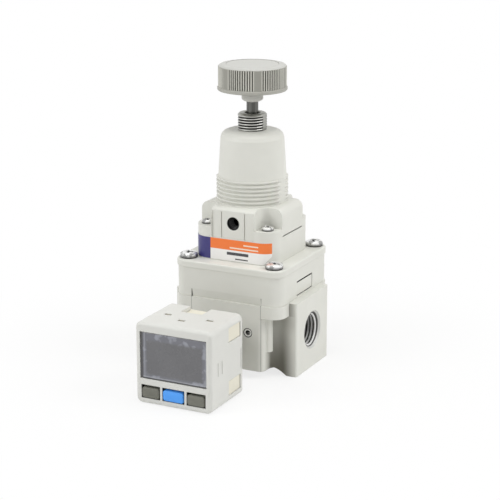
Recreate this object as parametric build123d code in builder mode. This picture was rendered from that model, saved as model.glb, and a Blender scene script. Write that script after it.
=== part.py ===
# Precision pressure regulator with a square digital pressure switch on its front.
# Units are millimetres. Z is up. The origin is on the vertical body axis, in the plane of the feet.
# X runs from the inlet boss (negative) to the outlet boss (positive). The switch faces negative Y.

from build123d import *
from math import cos, radians, sin
import os

os.makedirs("parts", exist_ok=True)

# Heights of the stacked pieces, from the feet up
feet_height = 3.0
lower_body_height = 28.2
mid_body_height = 13.6
base_height = 19.8
neck_thread_length = 9.4
cone_height = 14.6
crown_height = 2.8
bush_height = 6.2
knob_travel = 4.2
hub_drop = 4.2
knob_height = 9.6

# Clearances
fit_gap = 0.02
running_gap = 0.05
loose_gap = 0.1

# Lower body
body_width = 44.0
body_corner = 5.0
boss_reach = 3.0
boss_edge = 0.8
pad_edge = 2.3
recess_x = 6.7
recess_y = 8.0
recess_round = 4.0
flange_thickness = 4.7
foot_length = 4.0
foot_slope = 4.5
rib_radius = 1.9
rib_margin_x = 7.1
rib_margin_y = 4.6
rib_drop = 18.2
body_screw_margin = 4.5
body_screw_shank = 1.7
body_screw_head = 3.3
screw_floor = 0.7

# Quarter inch pipe ports, walls drawn at the major thread radius
port_rise = 14.5
port_radius = 6.58
port_depth = 11.0
port_chamfer = 0.7

# Front and rear gauge ports
gauge_rise = 0.7
gauge_radius = 4.86
gauge_depth = 9.0
gauge_passage_radius = 1.5

# Valve bores on the body axis
guide_bore_radius = 10.5
guide_bore_depth = 3.0
ring_groove_depth = 0.5
ring_thickness = 0.8
valve_bore_radius = 8.0
seat_bore_radius = 3.5
seat_lip = 0.5
seat_thickness = 2.5
outlet_chamber_radius = 9.5
diaphragm_bore_margin = 6.5
diaphragm_bore_depth = 4.6
clamp_width = 2.5
clamp_depth = 0.4
inlet_passage_radius = 3.0
outlet_passage_radius = 2.25
orifice_screw_radius = 1.8
orifice_screw_margin = 6.3
orifice_screw_length = 5.3
orifice_screw_rise = 2.9

# Mid body
lip_height = 2.6
lip_round = 0.7
wall_inset = 0.4
pocket_height = 3.0
pocket_depth = 0.5
pocket_margin = 7.7
exhaust_width = 13.6
exhaust_height = 5.6
exhaust_rise = 0.7
exhaust_depth = 1.6
exhaust_slot = 1.1
exhaust_slot_depth = 2.2
exhaust_hole_radius = 2.0
relay_chamber_height = 4.8
web_thickness = 4.5
upper_bore_inset = 3.0
upper_clamp_width = 1.5
upper_clamp_depth = 0.35

# Bonnet
base_margin = 5.5
base_corner = 6.2
shoulder_round = 3.0
label_band_height = 8.5
lug_height = 3.9
notch_margin = 7.6
notch_round = 2.6
relief_depth = 0.7
groove_offset = 4.7
groove_width = 0.4
groove_depth = 0.35
bleed_rise = 1.8
bleed_radius = 2.1
bleed_chamfer = 0.35
bleed_depth = 5.0
side_slot_rise = 1.1
side_slot_length = 16.4
side_slot_height = 0.5
side_slot_depth = 1.0
thread_crest_radius = 13.3
thread_depth = 0.8
thread_pitch = 1.5
cone_step = 0.65
cone_taper = 0.9
crown_round = 2.95
spring_bore_radius = 9.0
spring_bore_rise = 6.2
crown_wall = 4.4
bonnet_screw_margin = 4.2
bonnet_screw_shank = 1.2
bonnet_screw_head = 2.25
bonnet_screw_depth = 5.6

# Label film
label_height = 8.0
label_start = 0.3
label_thickness = 0.1
label_cut = 4.9

# Bush, adjusting screw and knob
bush_outer_radius = 5.4
bush_shank_radius = 5.0
bush_bore_radius = 3.0
bush_chamfer = 0.7
bush_flat_depth = 0.4
spindle_radius = 2.18
screw_below_bush = 8.0
screw_step_below_bush_top = 3.6
clip_stop_gap = 1.2
clip_thickness = 1.0
clip_radius = 4.4
knob_rim_radius = 12.85
knob_rim_height = 1.4
knob_rim_step = 0.3
knob_top_slope = 0.9
knob_face_inset = 3.2
knob_wall = 2.25
knob_crown_thickness = 3.6
knob_cap_depth = 1.0
hub_radius = 3.92
hub_cone_height = 1.7
hub_tip_radius = 2.7
pad_count = 6
grooves_per_group = 11
groove_step = 4.2
knob_groove_depth = 0.4
pad_phase = 5.3

# Springs and spring seats
spring_seat_height = 3.0
spring_seat_clearance = 0.3
spring_wire = 1.7
spring_mean_radius = 7.2
spring_turns = 6.0
spring_end_gap = 0.15
lower_seat_height = 2.6
lower_seat_radius = 8.2
seat_spigot_height = 1.6
valve_spring_wire = 0.8
valve_spring_mean_radius = 5.0
valve_spring_turns = 3.5

# Measuring diaphragm, flapper and nozzle
upper_web_rise = 2.1
upper_web_width = 4.5
diaphragm_thickness = 0.6
flapper_plate_rise = 0.4
flapper_nose_radius = 2.5
flapper_gap = 0.3
flapper_stem_radius = 2.0
nozzle_height = 1.7
nozzle_radius = 2.5

# Relay diaphragm and piston
relay_web_width = 4.5
relay_hub_drop = 2.1
plate_margin = 0.5
relay_plate_thickness = 1.0
relay_nose_radius = 3.0
relay_neck_radius = 2.2
relay_hole_radius = 1.2
relay_nose_rise = 1.2

# Valve poppet and guide
poppet_radius = 5.2
poppet_thickness = 2.3
poppet_rubber_thickness = 0.7
poppet_stem_radius = 1.8
poppet_guide_radius = 2.4
poppet_travel_room = 0.5
guide_post_radius = 4.0
guide_post_height = 4.0
guide_hexagon_radius = 8.0

# Digital switch
switch_size = 30.0
switch_depth = 24.5
switch_gap = 15.5
case_wall = 1.4
case_front_wall = 2.2
case_round = 1.3
case_corner = 2.2
case_back_step = 0.8
window_side_margin = 1.9
window_height = 17.2
window_top_margin = 3.4
window_thickness = 1.2
window_ledge = 1.2
button_rise = 4.6
button_height = 4.4
button_side_width = 6.9
button_middle_width = 8.2
button_space = 1.45
button_gap = 0.3
button_travel = 0.4
button_proud = 0.35
button_flange = 0.5
snap_length = 9.2
snap_height = 5.4
snap_back = 2.1
snap_upper_margin = 4.9
snap_lower_margin = 5.5
top_slot_width = 2.8
top_slot_length = 1.4
top_slot_outer_x = 8.3
top_slot_outer_back = 11.8
top_slot_middle_x = -0.7
top_slot_middle_back = 15.9
top_notch_x = -1.5
top_notch_width = 8.4
top_notch_length = 7.0
side_slit_rise = 10.3
side_slit_height = 7.4
side_mark_height = 5.0
rear_wall = 2.4
rear_side_wall = 1.5
board_thickness = 1.2
board_space = 2.4
socket_width = 9.0
socket_height = 6.0
socket_wall = 0.75
socket_shift = 7.3
socket_rise = 6.6
pin_count = 4
pin_size = 0.5
pin_pitch = 1.6
sensor_spigot_radius = 3.4
sensor_depth = 7.0
sensor_margin = 1.6
socket_depth = 7.0
socket_floor = 1.0
pin_length = 3.8
adapter_flange_width = 20.0
adapter_flange_thickness = 3.0
adapter_flange_below = 5.5
adapter_flange_above = 9.5
adapter_neck_radius = 5.5
adapter_hexagon_radius = 7.0
adapter_hexagon_length = 5.0
adapter_screw_spacing = 15.0
adapter_screw_rise = 6.5
adapter_screw_shank = 0.93

# Places that follow from the sizes above
parting_z = lower_body_height
mid_top_z = parting_z + mid_body_height
shoulder_z = mid_top_z + base_height
thread_top_z = shoulder_z + neck_thread_length
cone_top_z = thread_top_z + cone_height
bonnet_top_z = cone_top_z + crown_height
bush_top_z = bonnet_top_z + bush_height
hub_bottom_z = bush_top_z + knob_travel
knob_bottom_z = hub_bottom_z + hub_drop
knob_top_z = knob_bottom_z + knob_height

half_body = body_width / 2
port_x = half_body + boss_reach
boss_width = body_width - 2 * recess_y
pad_width = body_width - 2 * recess_x
body_screw_offset = half_body - body_screw_margin
body_screw_depth = flange_thickness - screw_floor
orifice_screw_x = pad_width / 2 - orifice_screw_margin
port_axis_z = port_rise
gauge_axis_z = port_axis_z + gauge_rise
orifice_screw_z = port_axis_z + orifice_screw_rise

guide_bore_top_z = feet_height + guide_bore_depth
ring_bottom_z = feet_height + loose_gap
ring_groove_radius = guide_bore_radius + ring_groove_depth
guide_flange_bottom_z = ring_bottom_z + ring_thickness
valve_bore_top_z = port_axis_z + 1.0
seat_z = valve_bore_top_z - seat_lip
outlet_chamber_bottom_z = valve_bore_top_z + seat_thickness
diaphragm_floor_z = parting_z - diaphragm_bore_depth
diaphragm_bore_radius = half_body - diaphragm_bore_margin
clamp_radius = diaphragm_bore_radius + clamp_width
poppet_rubber_bottom_z = seat_z - poppet_rubber_thickness
poppet_bottom_z = poppet_rubber_bottom_z - poppet_thickness
poppet_guide_bottom_z = guide_bore_top_z + poppet_travel_room
guide_post_top_z = guide_bore_top_z + guide_post_height
relay_face_z = outlet_chamber_bottom_z + relay_nose_rise
relay_hub_bottom_z = parting_z - relay_hub_drop
relay_hub_top_z = relay_hub_bottom_z + diaphragm_thickness
relay_hub_radius = diaphragm_bore_radius - relay_web_width
relay_plate_radius = relay_hub_radius - plate_margin

exhaust_bottom_z = parting_z + exhaust_rise
exhaust_top_z = exhaust_bottom_z + exhaust_height
exhaust_floor_x = half_body - wall_inset - exhaust_depth
web_bottom_z = parting_z + relay_chamber_height
web_top_z = web_bottom_z + web_thickness
upper_bore_radius = diaphragm_bore_radius - upper_bore_inset
upper_clamp_radius = upper_bore_radius + upper_clamp_width
upper_hub_radius = upper_bore_radius - upper_web_width
flapper_plate_radius = upper_hub_radius - plate_margin
nozzle_tip_z = web_top_z + nozzle_height
flapper_face_z = nozzle_tip_z + flapper_gap
flapper_plate_bottom_z = mid_top_z + flapper_plate_rise
lower_seat_bottom_z = mid_top_z + upper_web_rise
lower_seat_top_z = lower_seat_bottom_z + lower_seat_height
upper_hub_bottom_z = lower_seat_bottom_z - diaphragm_thickness

base_width = body_width - 2 * base_margin
half_base = base_width / 2
label_band_top_z = mid_top_z + label_band_height
lug_top_z = label_band_top_z + lug_height
notch_inner = half_base - notch_margin
relief_half = notch_inner - 0.3
relief_y = half_base - relief_depth
bleed_axis_z = lug_top_z + bleed_rise
side_slot_z = label_band_top_z + side_slot_rise
thread_root_radius = thread_crest_radius - thread_depth
cone_bottom_radius = thread_crest_radius - cone_step
cone_top_radius = cone_bottom_radius - cone_taper
spring_bore_bottom_z = mid_top_z + spring_bore_rise
spring_bore_top_z = bonnet_top_z - crown_wall
bonnet_screw_offset = half_base - bonnet_screw_margin

screw_radius = bush_bore_radius - running_gap
screw_bottom_z = spring_bore_top_z - screw_below_bush
screw_step_z = bush_top_z - screw_step_below_bush_top
clip_bottom_z = spring_bore_top_z - clip_stop_gap - clip_thickness
upper_seat_bottom_z = screw_bottom_z - spring_seat_height
spigot_radius = spring_mean_radius - spring_wire / 2 - 0.3
knob_grip_radius = knob_rim_radius - knob_rim_step
knob_face_radius = knob_rim_radius - knob_face_inset
knob_cavity_radius = knob_rim_radius - knob_wall
knob_cavity_top_z = knob_top_z - knob_crown_thickness
grip_bottom_z = knob_bottom_z + knob_rim_height
spindle_top_z = knob_top_z - knob_cap_depth - 1.6

switch_back_y = -half_body - switch_gap
switch_front_y = switch_back_y - switch_depth
switch_centre_z = gauge_axis_z
half_switch = switch_size / 2
switch_bottom_z = switch_centre_z - half_switch
switch_top_z = switch_centre_z + half_switch
case_back_y = switch_back_y - case_back_step
case_inner = half_switch - case_wall
window_width = switch_size - 2 * window_side_margin
window_centre_z = switch_top_z - window_top_margin - window_height / 2
button_z = switch_bottom_z + button_rise
button_spacing = (button_side_width + button_middle_width) / 2 + button_space
button_xs = (-button_spacing, 0.0, button_spacing)
button_widths = (button_side_width, button_middle_width, button_side_width)
panel_front_y = switch_front_y + case_front_wall
button_stem_y = panel_front_y + 1.7
board_front_y = panel_front_y + board_space
snap_back_y = switch_back_y - snap_back
snap_zs = (switch_top_z - snap_upper_margin, switch_bottom_z + snap_lower_margin)
top_slots = ((-top_slot_outer_x, case_back_y - top_slot_outer_back),
             (top_slot_middle_x, case_back_y - top_slot_middle_back),
             (top_slot_outer_x, case_back_y - top_slot_outer_back))
socket_bottom_y = switch_back_y - socket_depth + socket_floor
socket_x = socket_shift
socket_z = switch_bottom_z + socket_rise
adapter_screw_z = gauge_axis_z + adapter_screw_rise
UP = (Align.CENTER, Align.CENTER, Align.MIN)
DOWN = (Align.CENTER, Align.CENTER, Align.MAX)


def disc(radius, bottom, top, mode=Mode.ADD):
    with Locations((0, 0, bottom)):
        Cylinder(radius, top - bottom, align=UP, mode=mode)


def rod_x(radius, start, end, y, z, mode=Mode.ADD):
    with Locations(Location((min(start, end), y, z), (0, 90, 0))):
        Cylinder(radius, abs(end - start), align=UP, mode=mode)


def rod_y(radius, start, end, x, z, mode=Mode.ADD):
    with Locations(Location((x, min(start, end), z), (-90, 0, 0))):
        Cylinder(radius, abs(end - start), align=UP, mode=mode)


def block(x0, x1, y0, y1, z0, z1, mode=Mode.ADD):
    with Locations(((x0 + x1) / 2, (y0 + y1) / 2, (z0 + z1) / 2)):
        Box(abs(x1 - x0), abs(y1 - y0), abs(z1 - z0), mode=mode)


def turned(points, mode=Mode.ADD):
    with BuildSketch(Plane.XZ, mode=Mode.PRIVATE) as profile:
        with BuildLine():
            Polyline(*points, close=True)
        make_face()
    revolve(profile.sketch, axis=Axis.Z, mode=mode)


def rubber_ring(centre, direction, radius, wire_radius):
    across = Plane(origin=centre, z_dir=direction)
    with BuildSketch(Plane(origin=centre, x_dir=across.x_dir, z_dir=across.y_dir),
                     mode=Mode.PRIVATE) as section:
        with Locations((radius, 0)):
            RegularPolygon(wire_radius, 6)
    revolve(section.sketch, axis=Axis(centre, direction))


def coil(mean_radius, wire, bottom, top, turns, corners=12):
    rise = (top - bottom - wire) / (turns * corners)
    points = [(mean_radius * cos(radians(360 * step / corners)),
               mean_radius * sin(radians(360 * step / corners)), bottom + wire / 2 + rise * step)
              for step in range(int(turns * corners) + 1)]
    with BuildLine(mode=Mode.PRIVATE) as path:
        Polyline(*points)
    with BuildSketch(Plane(origin=path.line @ 0, z_dir=path.line % 0), mode=Mode.PRIVATE) as section:
        RegularPolygon(wire / 2, 4)
    sweep(section.sketch, path.line, transition=Transition.RIGHT)


# Lower body: inlet and outlet bosses along X, front and rear pads along Y, valve bores on the axis
with BuildPart() as lower_body:
    with BuildSketch() as plan:
        RectangleRounded(2 * port_x, boss_width, boss_edge)
        RectangleRounded(pad_width, body_width, pad_edge)
        inner = [v for v in plan.vertices()
                 if abs(abs(v.X) - pad_width / 2) < 0.01 and abs(abs(v.Y) - boss_width / 2) < 0.01]
        fillet(inner, recess_round)
    extrude(amount=parting_z)
    with BuildSketch(Plane.XY.offset(parting_z - flange_thickness)):
        RectangleRounded(body_width, body_width, body_corner)
    extrude(amount=flange_thickness)
    # The underside is raised between the two feet
    with BuildSketch(Plane.XZ.offset(-half_body - 1)):
        with BuildLine():
            foot_inner = port_x - foot_length
            Polyline((-foot_inner, -1), (-foot_inner, 0), (-foot_inner + foot_slope, feet_height),
                     (foot_inner - foot_slope, feet_height), (foot_inner, 0), (foot_inner, -1),
                     close=True)
        make_face()
    extrude(amount=body_width + 2, mode=Mode.SUBTRACT)
    # Ribs hang beside the pads in the corner recesses
    with BuildSketch(Plane.XY.offset(parting_z - rib_drop)):
        with GridLocations(body_width - 2 * rib_margin_x, body_width - 2 * rib_margin_y, 2, 2):
            Circle(rib_radius)
    extrude(amount=rib_drop - flange_thickness + 1)
    # Blind screw holes in the flange
    with Locations((0, 0, parting_z)):
        with GridLocations(2 * body_screw_offset, 2 * body_screw_offset, 2, 2):
            Cylinder(body_screw_shank + fit_gap, body_screw_depth + fit_gap, align=DOWN,
                     mode=Mode.SUBTRACT)
    # Stepped bore for the valve guide, valve, seat and relay diaphragm
    turned([(0, -1), (guide_bore_radius, -1), (guide_bore_radius, ring_bottom_z),
            (ring_groove_radius, ring_bottom_z), (ring_groove_radius, ring_bottom_z + ring_thickness),
            (guide_bore_radius, ring_bottom_z + ring_thickness),
            (guide_bore_radius, guide_bore_top_z), (valve_bore_radius, guide_bore_top_z),
            (valve_bore_radius, valve_bore_top_z), (seat_bore_radius + 0.8, valve_bore_top_z),
            (seat_bore_radius + 0.4, seat_z), (seat_bore_radius, seat_z),
            (seat_bore_radius, outlet_chamber_bottom_z),
            (outlet_chamber_radius, outlet_chamber_bottom_z),
            (outlet_chamber_radius, diaphragm_floor_z), (diaphragm_bore_radius, diaphragm_floor_z),
            (diaphragm_bore_radius, parting_z - clamp_depth),
            (clamp_radius, parting_z - clamp_depth),
            (clamp_radius, parting_z + 1), (0, parting_z + 1)], mode=Mode.SUBTRACT)
    # Inlet and outlet ports with chamfered mouths
    for side in (-1, 1):
        rod_x(port_radius, side * (port_x - port_depth), side * (port_x + 1), 0, port_axis_z,
              Mode.SUBTRACT)
        with BuildSketch(Plane(origin=(side * port_x, 0, port_axis_z), z_dir=(side, 0, 0))):
            Circle(port_radius + port_chamfer)
        extrude(amount=-port_chamfer, taper=45, mode=Mode.SUBTRACT)
    rod_x(inlet_passage_radius, -(port_x - port_depth) - 1, -valve_bore_radius + 2, 0,
          port_axis_z - inlet_passage_radius, Mode.SUBTRACT)
    rod_x(outlet_passage_radius, outlet_chamber_radius - 1, port_x - port_depth + 1, 0,
          outlet_chamber_bottom_z + 0.9, Mode.SUBTRACT)
    # Front and rear gauge ports, both open to the outlet chamber
    for side in (-1, 1):
        rod_y(gauge_radius, side * (half_body - gauge_depth), side * (half_body + 1), 0, gauge_axis_z,
              Mode.SUBTRACT)
        rod_y(gauge_passage_radius, side * (outlet_chamber_radius - 1.5),
              side * (half_body - gauge_depth + 1), 0, outlet_chamber_bottom_z + 0.4, Mode.SUBTRACT)
    # Hole of the orifice screw in the front pad
    rod_y(orifice_screw_radius, -half_body - 1, -half_body + orifice_screw_length + 0.7,
          orifice_screw_x, orifice_screw_z, Mode.SUBTRACT)
lower_body.part.label = "lower_body"
export_step(lower_body.part, "parts/lower_body.step")

# Mid body: top lip, slightly inset walls, exhaust window and the web that carries the nozzle
with BuildPart() as mid_body:
    with BuildSketch(Plane.XY.offset(parting_z)):
        RectangleRounded(body_width - 2 * wall_inset, body_width - 2 * wall_inset,
                         body_corner - wall_inset)
    extrude(amount=mid_top_z - parting_z)
    with BuildSketch(Plane.XY.offset(mid_top_z - lip_height)):
        RectangleRounded(body_width, body_width, body_corner)
    extrude(amount=lip_height)
    lip_edges = mid_body.edges().filter_by_position(Axis.Z, mid_top_z, mid_top_z)
    fillet(lip_edges, lip_round)
    # Shallow pockets above the pads, deepest at the parting plane
    wall_y = half_body - wall_inset
    for side in (-1, 1):
        with BuildSketch(Plane.YZ.offset(-half_body + pocket_margin)):
            with BuildLine():
                Polyline((side * (wall_y - pocket_depth), parting_z - 1),
                         (side * (half_body + 1), parting_z - 1),
                         (side * (half_body + 1), parting_z + pocket_height),
                         (side * wall_y, parting_z + pocket_height),
                         (side * (wall_y - pocket_depth), parting_z), close=True)
            make_face()
        extrude(amount=body_width - 2 * pocket_margin, mode=Mode.SUBTRACT)
    turned([(0, parting_z - 1), (clamp_radius, parting_z - 1),
            (clamp_radius, parting_z + clamp_depth),
            (diaphragm_bore_radius, parting_z + clamp_depth),
            (diaphragm_bore_radius, web_bottom_z), (0, web_bottom_z)], mode=Mode.SUBTRACT)
    turned([(0, web_bottom_z - 1), (nozzle_radius + fit_gap, web_bottom_z - 1),
            (nozzle_radius + fit_gap, web_top_z), (upper_bore_radius, web_top_z),
            (upper_bore_radius, mid_top_z - upper_clamp_depth),
            (upper_clamp_radius, mid_top_z - upper_clamp_depth),
            (upper_clamp_radius, mid_top_z + 1), (0, mid_top_z + 1)], mode=Mode.SUBTRACT)
    with GridLocations(2 * body_screw_offset, 2 * body_screw_offset, 2, 2):
        Cylinder(body_screw_shank + 0.2, mid_top_z + 10, align=UP, mode=Mode.SUBTRACT)
    with Locations((0, 0, mid_top_z)):
        with GridLocations(2 * bonnet_screw_offset, 2 * bonnet_screw_offset, 2, 2):
            Cylinder(bonnet_screw_shank + fit_gap, bonnet_screw_depth + 0.4, align=DOWN,
                     mode=Mode.SUBTRACT)
    # Exhaust window on the outlet side
    block(exhaust_floor_x, half_body + 1, -exhaust_width / 2, exhaust_width / 2, exhaust_bottom_z,
          exhaust_top_z, Mode.SUBTRACT)
    block(exhaust_floor_x - exhaust_slot_depth, exhaust_floor_x + 1, -exhaust_width / 2,
          exhaust_width / 2, exhaust_top_z - exhaust_slot, exhaust_top_z, Mode.SUBTRACT)
    rod_x(exhaust_hole_radius, diaphragm_bore_radius - 2, half_body, 0,
          web_bottom_z - exhaust_hole_radius - 0.2, Mode.SUBTRACT)
mid_body.part.label = "mid_body"
export_step(mid_body.part, "parts/mid_body.step")

# Exhaust cover: plate in the window, shorter than the window so that a slot stays open above it
with BuildPart() as exhaust_cover:
    block(exhaust_floor_x, exhaust_floor_x + 0.9, -exhaust_width / 2 + fit_gap,
          exhaust_width / 2 - fit_gap, exhaust_bottom_z + fit_gap, exhaust_top_z - exhaust_slot)
exhaust_cover.part.label = "exhaust_cover"
export_step(exhaust_cover.part, "parts/exhaust_cover.step")

# Bonnet: square base with screw lugs, panel thread, cone and domed crown over the spring bore
with BuildPart() as bonnet:
    with BuildSketch(Plane.XY.offset(mid_top_z)):
        RectangleRounded(base_width, base_width, base_corner)
    extrude(amount=shoulder_z - mid_top_z)
    top_edges = bonnet.edges().filter_by_position(Axis.Z, shoulder_z, shoulder_z)
    fillet(top_edges, shoulder_round)
    # Square notches above the lugs make room for the bonnet screws
    notch_size = 2 * notch_margin
    with BuildSketch(Plane.XY.offset(lug_top_z)):
        with GridLocations(2 * notch_inner + notch_size, 2 * notch_inner + notch_size, 2, 2):
            RectangleRounded(notch_size, notch_size, notch_round)
    extrude(amount=shoulder_z - lug_top_z + 1, mode=Mode.SUBTRACT)
    # Front and rear walls stand back between the lugs
    for side in (-1, 1):
        block(-relief_half, relief_half, side * relief_y, side * (half_base + 1),
              label_band_top_z, shoulder_z + 1, Mode.SUBTRACT)
        for x in (-groove_offset, groove_offset):
            block(x - groove_width / 2, x + groove_width / 2, side * (relief_y - groove_depth),
                  side * half_base, label_band_top_z, shoulder_z - shoulder_round / 2, Mode.SUBTRACT)
        block(side * (half_base - side_slot_depth), side * (half_base + 1),
              -side_slot_length / 2, side_slot_length / 2,
              side_slot_z - side_slot_height / 2, side_slot_z + side_slot_height / 2, Mode.SUBTRACT)
    # Threaded neck with two flats
    disc(thread_crest_radius, shoulder_z - 4, thread_top_z)
    for turn in range(int(neck_thread_length / thread_pitch)):
        z = shoulder_z + 0.2 + (turn + 0.5) * thread_pitch
        half = thread_pitch * 0.42
        turned([(thread_crest_radius + 0.2, z - half), (thread_crest_radius + 0.2, z + half),
                (thread_root_radius, z + 0.12), (thread_root_radius, z - 0.12)], mode=Mode.SUBTRACT)
    for side in (-1, 1):
        block(side * (thread_root_radius - 0.05), side * (thread_crest_radius + 1), -10, 10,
              shoulder_z, thread_top_z + 1, Mode.SUBTRACT)
    # Cone and crown
    turned([(0, thread_top_z - 2), (thread_root_radius - 0.3, thread_top_z - 2),
            (thread_root_radius - 0.3, thread_top_z), (cone_bottom_radius, thread_top_z),
            (cone_top_radius, cone_top_z), (cone_top_radius - 0.45, cone_top_z + 1.25),
            (cone_top_radius - 1.35, cone_top_z + 2.1),
            (cone_top_radius - crown_round, bonnet_top_z - 0.15),
            (0, bonnet_top_z)])
    # Spring bore and diaphragm chamber
    turned([(0, mid_top_z - 1), (upper_clamp_radius, mid_top_z - 1),
            (upper_clamp_radius, mid_top_z + upper_clamp_depth),
            (upper_bore_radius, mid_top_z + upper_clamp_depth),
            (upper_bore_radius, spring_bore_bottom_z), (spring_bore_radius, spring_bore_bottom_z),
            (spring_bore_radius, spring_bore_top_z), (bush_shank_radius + fit_gap, spring_bore_top_z),
            (bush_shank_radius + fit_gap, bonnet_top_z + 1), (0, bonnet_top_z + 1)],
           mode=Mode.SUBTRACT)
    with GridLocations(2 * bonnet_screw_offset, 2 * bonnet_screw_offset, 2, 2):
        Cylinder(bonnet_screw_shank + 0.15, shoulder_z + 10, align=UP, mode=Mode.SUBTRACT)
    # Bleed port in the front boss
    rod_y(bleed_radius, -relief_y - 1, -relief_y + bleed_depth, 0, bleed_axis_z, Mode.SUBTRACT)
    rod_y(0.6, -relief_y, -spring_bore_radius + 1, 0, bleed_axis_z, Mode.SUBTRACT)
    with BuildSketch(Plane(origin=(0, -relief_y, bleed_axis_z), z_dir=(0, -1, 0))):
        Circle(bleed_radius + bleed_chamfer)
    extrude(amount=-bleed_chamfer, taper=45, mode=Mode.SUBTRACT)
bonnet.part.label = "bonnet"
export_step(bonnet.part, "parts/bonnet.step")

# Label: thin film round the front of the bonnet base, lower right corner cut off
with BuildPart() as label:
    film_inner = fit_gap
    film_outer = fit_gap + label_thickness
    arc_centre = half_base - base_corner
    with BuildSketch(Plane.XY.offset(mid_top_z + label_start)):
        RectangleRounded(base_width + 2 * film_outer, base_width + 2 * film_outer,
                         base_corner + film_outer)
        RectangleRounded(base_width + 2 * film_inner, base_width + 2 * film_inner,
                         base_corner + film_inner, mode=Mode.SUBTRACT)
        with BuildLine():
            Polyline((-arc_centre, -arc_centre), (-half_body, -arc_centre - 4), (-half_body, -half_body),
                     (half_body - 2.6, -half_body), (arc_centre + 4.8, -arc_centre - 4.05),
                     (arc_centre, -arc_centre), close=True)
        make_face(mode=Mode.INTERSECT)
    extrude(amount=label_height)
    with BuildSketch(Plane.XZ.offset(arc_centre)):
        with BuildLine():
            cut_x = half_base - label_cut
            Polyline((cut_x, mid_top_z - 1), (cut_x + label_height, mid_top_z - 1),
                     (cut_x + label_height, mid_top_z + label_height + 1), close=True)
        make_face()
    extrude(amount=label_height, mode=Mode.SUBTRACT)
label.part.label = "label"
export_step(label.part, "parts/label.step")

# Body screws: pan heads with a cross recess, on the corners of the mid body
with BuildPart() as body_screws:
    for x in (-body_screw_offset, body_screw_offset):
        for y in (-body_screw_offset, body_screw_offset):
            with Locations((x, y, mid_top_z)):
                head_height = body_screw_head * 0.45
                Cylinder(body_screw_head, head_height, align=UP)
                with Locations((0, 0, head_height)):
                    Cone(body_screw_head, body_screw_head * 0.6, head_height / 2, align=UP)
                Cylinder(body_screw_shank, mid_body_height + body_screw_depth, align=DOWN)
                with Locations((0, 0, head_height * 0.9)):
                    Box(body_screw_head, 0.7, 2, align=UP, mode=Mode.SUBTRACT)
                    Box(0.7, body_screw_head, 2, align=UP, mode=Mode.SUBTRACT)
body_screws.part.label = "body_screws"
export_step(body_screws.part, "parts/body_screws.step")

# Bonnet screws: smaller pan heads on the lugs
with BuildPart() as bonnet_screws:
    for x in (-bonnet_screw_offset, bonnet_screw_offset):
        for y in (-bonnet_screw_offset, bonnet_screw_offset):
            with Locations((x, y, lug_top_z)):
                head_height = bonnet_screw_head * 0.45
                Cylinder(bonnet_screw_head, head_height, align=UP)
                with Locations((0, 0, head_height)):
                    Cone(bonnet_screw_head, bonnet_screw_head * 0.6, head_height / 2, align=UP)
                Cylinder(bonnet_screw_shank, lug_top_z - mid_top_z + bonnet_screw_depth, align=DOWN)
                with Locations((0, 0, head_height * 0.9)):
                    Box(bonnet_screw_head, 0.5, 2, align=UP, mode=Mode.SUBTRACT)
                    Box(0.5, bonnet_screw_head, 2, align=UP, mode=Mode.SUBTRACT)
bonnet_screws.part.label = "bonnet_screws"
export_step(bonnet_screws.part, "parts/bonnet_screws.step")

# Orifice screw: small socket plug in the front pad
with BuildPart() as orifice_screw:
    plug_y = -half_body + 0.2
    rod_y(orifice_screw_radius - fit_gap, plug_y, plug_y + orifice_screw_length, orifice_screw_x,
          orifice_screw_z)
    with BuildSketch(Plane(origin=(orifice_screw_x, plug_y, orifice_screw_z), z_dir=(0, -1, 0))):
        RegularPolygon(orifice_screw_radius * 0.53, 6)
    extrude(amount=-1.4, mode=Mode.SUBTRACT)
orifice_screw.part.label = "orifice_screw"
export_step(orifice_screw.part, "parts/orifice_screw.step")

# Rear port plug with a hexagon socket, and its sealing ring
with BuildPart() as rear_plug:
    plug_inner_y = half_body - gauge_depth + 2
    rod_y(gauge_radius - fit_gap, plug_inner_y, half_body - 0.3, 0, gauge_axis_z)
    with BuildSketch(Plane(origin=(0, half_body - 0.3, gauge_axis_z), z_dir=(0, 1, 0))):
        RegularPolygon(gauge_radius * 0.6, 6)
    extrude(amount=-4, mode=Mode.SUBTRACT)
rear_plug.part.label = "rear_plug"
export_step(rear_plug.part, "parts/rear_plug.step")

with BuildPart() as rear_plug_ring:
    rubber_ring((0, plug_inner_y - 0.6, gauge_axis_z), (0, 1, 0), gauge_radius - 0.65, 0.55)
rear_plug_ring.part.label = "rear_plug_ring"
export_step(rear_plug_ring.part, "parts/rear_plug_ring.step")

# Valve guide: plug in the underside with the guide post of the poppet. Its hexagon is level with the feet.
with BuildPart() as valve_guide:
    turned([(0, guide_flange_bottom_z), (guide_bore_radius - fit_gap, guide_flange_bottom_z),
            (guide_bore_radius - fit_gap, guide_flange_bottom_z + 0.4),
            (guide_bore_radius - 1.4, guide_flange_bottom_z + 0.4),
            (guide_bore_radius - 1.4, guide_flange_bottom_z + 1.7),
            (guide_bore_radius - fit_gap, guide_flange_bottom_z + 1.7),
            (guide_bore_radius - fit_gap, guide_bore_top_z), (guide_post_radius, guide_bore_top_z),
            (guide_post_radius, guide_post_top_z),
            (poppet_guide_radius + running_gap, guide_post_top_z),
            (poppet_guide_radius + running_gap, guide_flange_bottom_z + 0.9),
            (0, guide_flange_bottom_z + 0.9)])
    with BuildSketch():
        RegularPolygon(guide_hexagon_radius, 6)
    extrude(amount=guide_flange_bottom_z)
valve_guide.part.label = "valve_guide"
export_step(valve_guide.part, "parts/valve_guide.step")

with BuildPart() as guide_ring:
    rubber_ring((0, 0, guide_flange_bottom_z + 1.05), (0, 0, 1), guide_bore_radius - 0.72, 0.6)
guide_ring.part.label = "guide_ring"
export_step(guide_ring.part, "parts/guide_ring.step")

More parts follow.
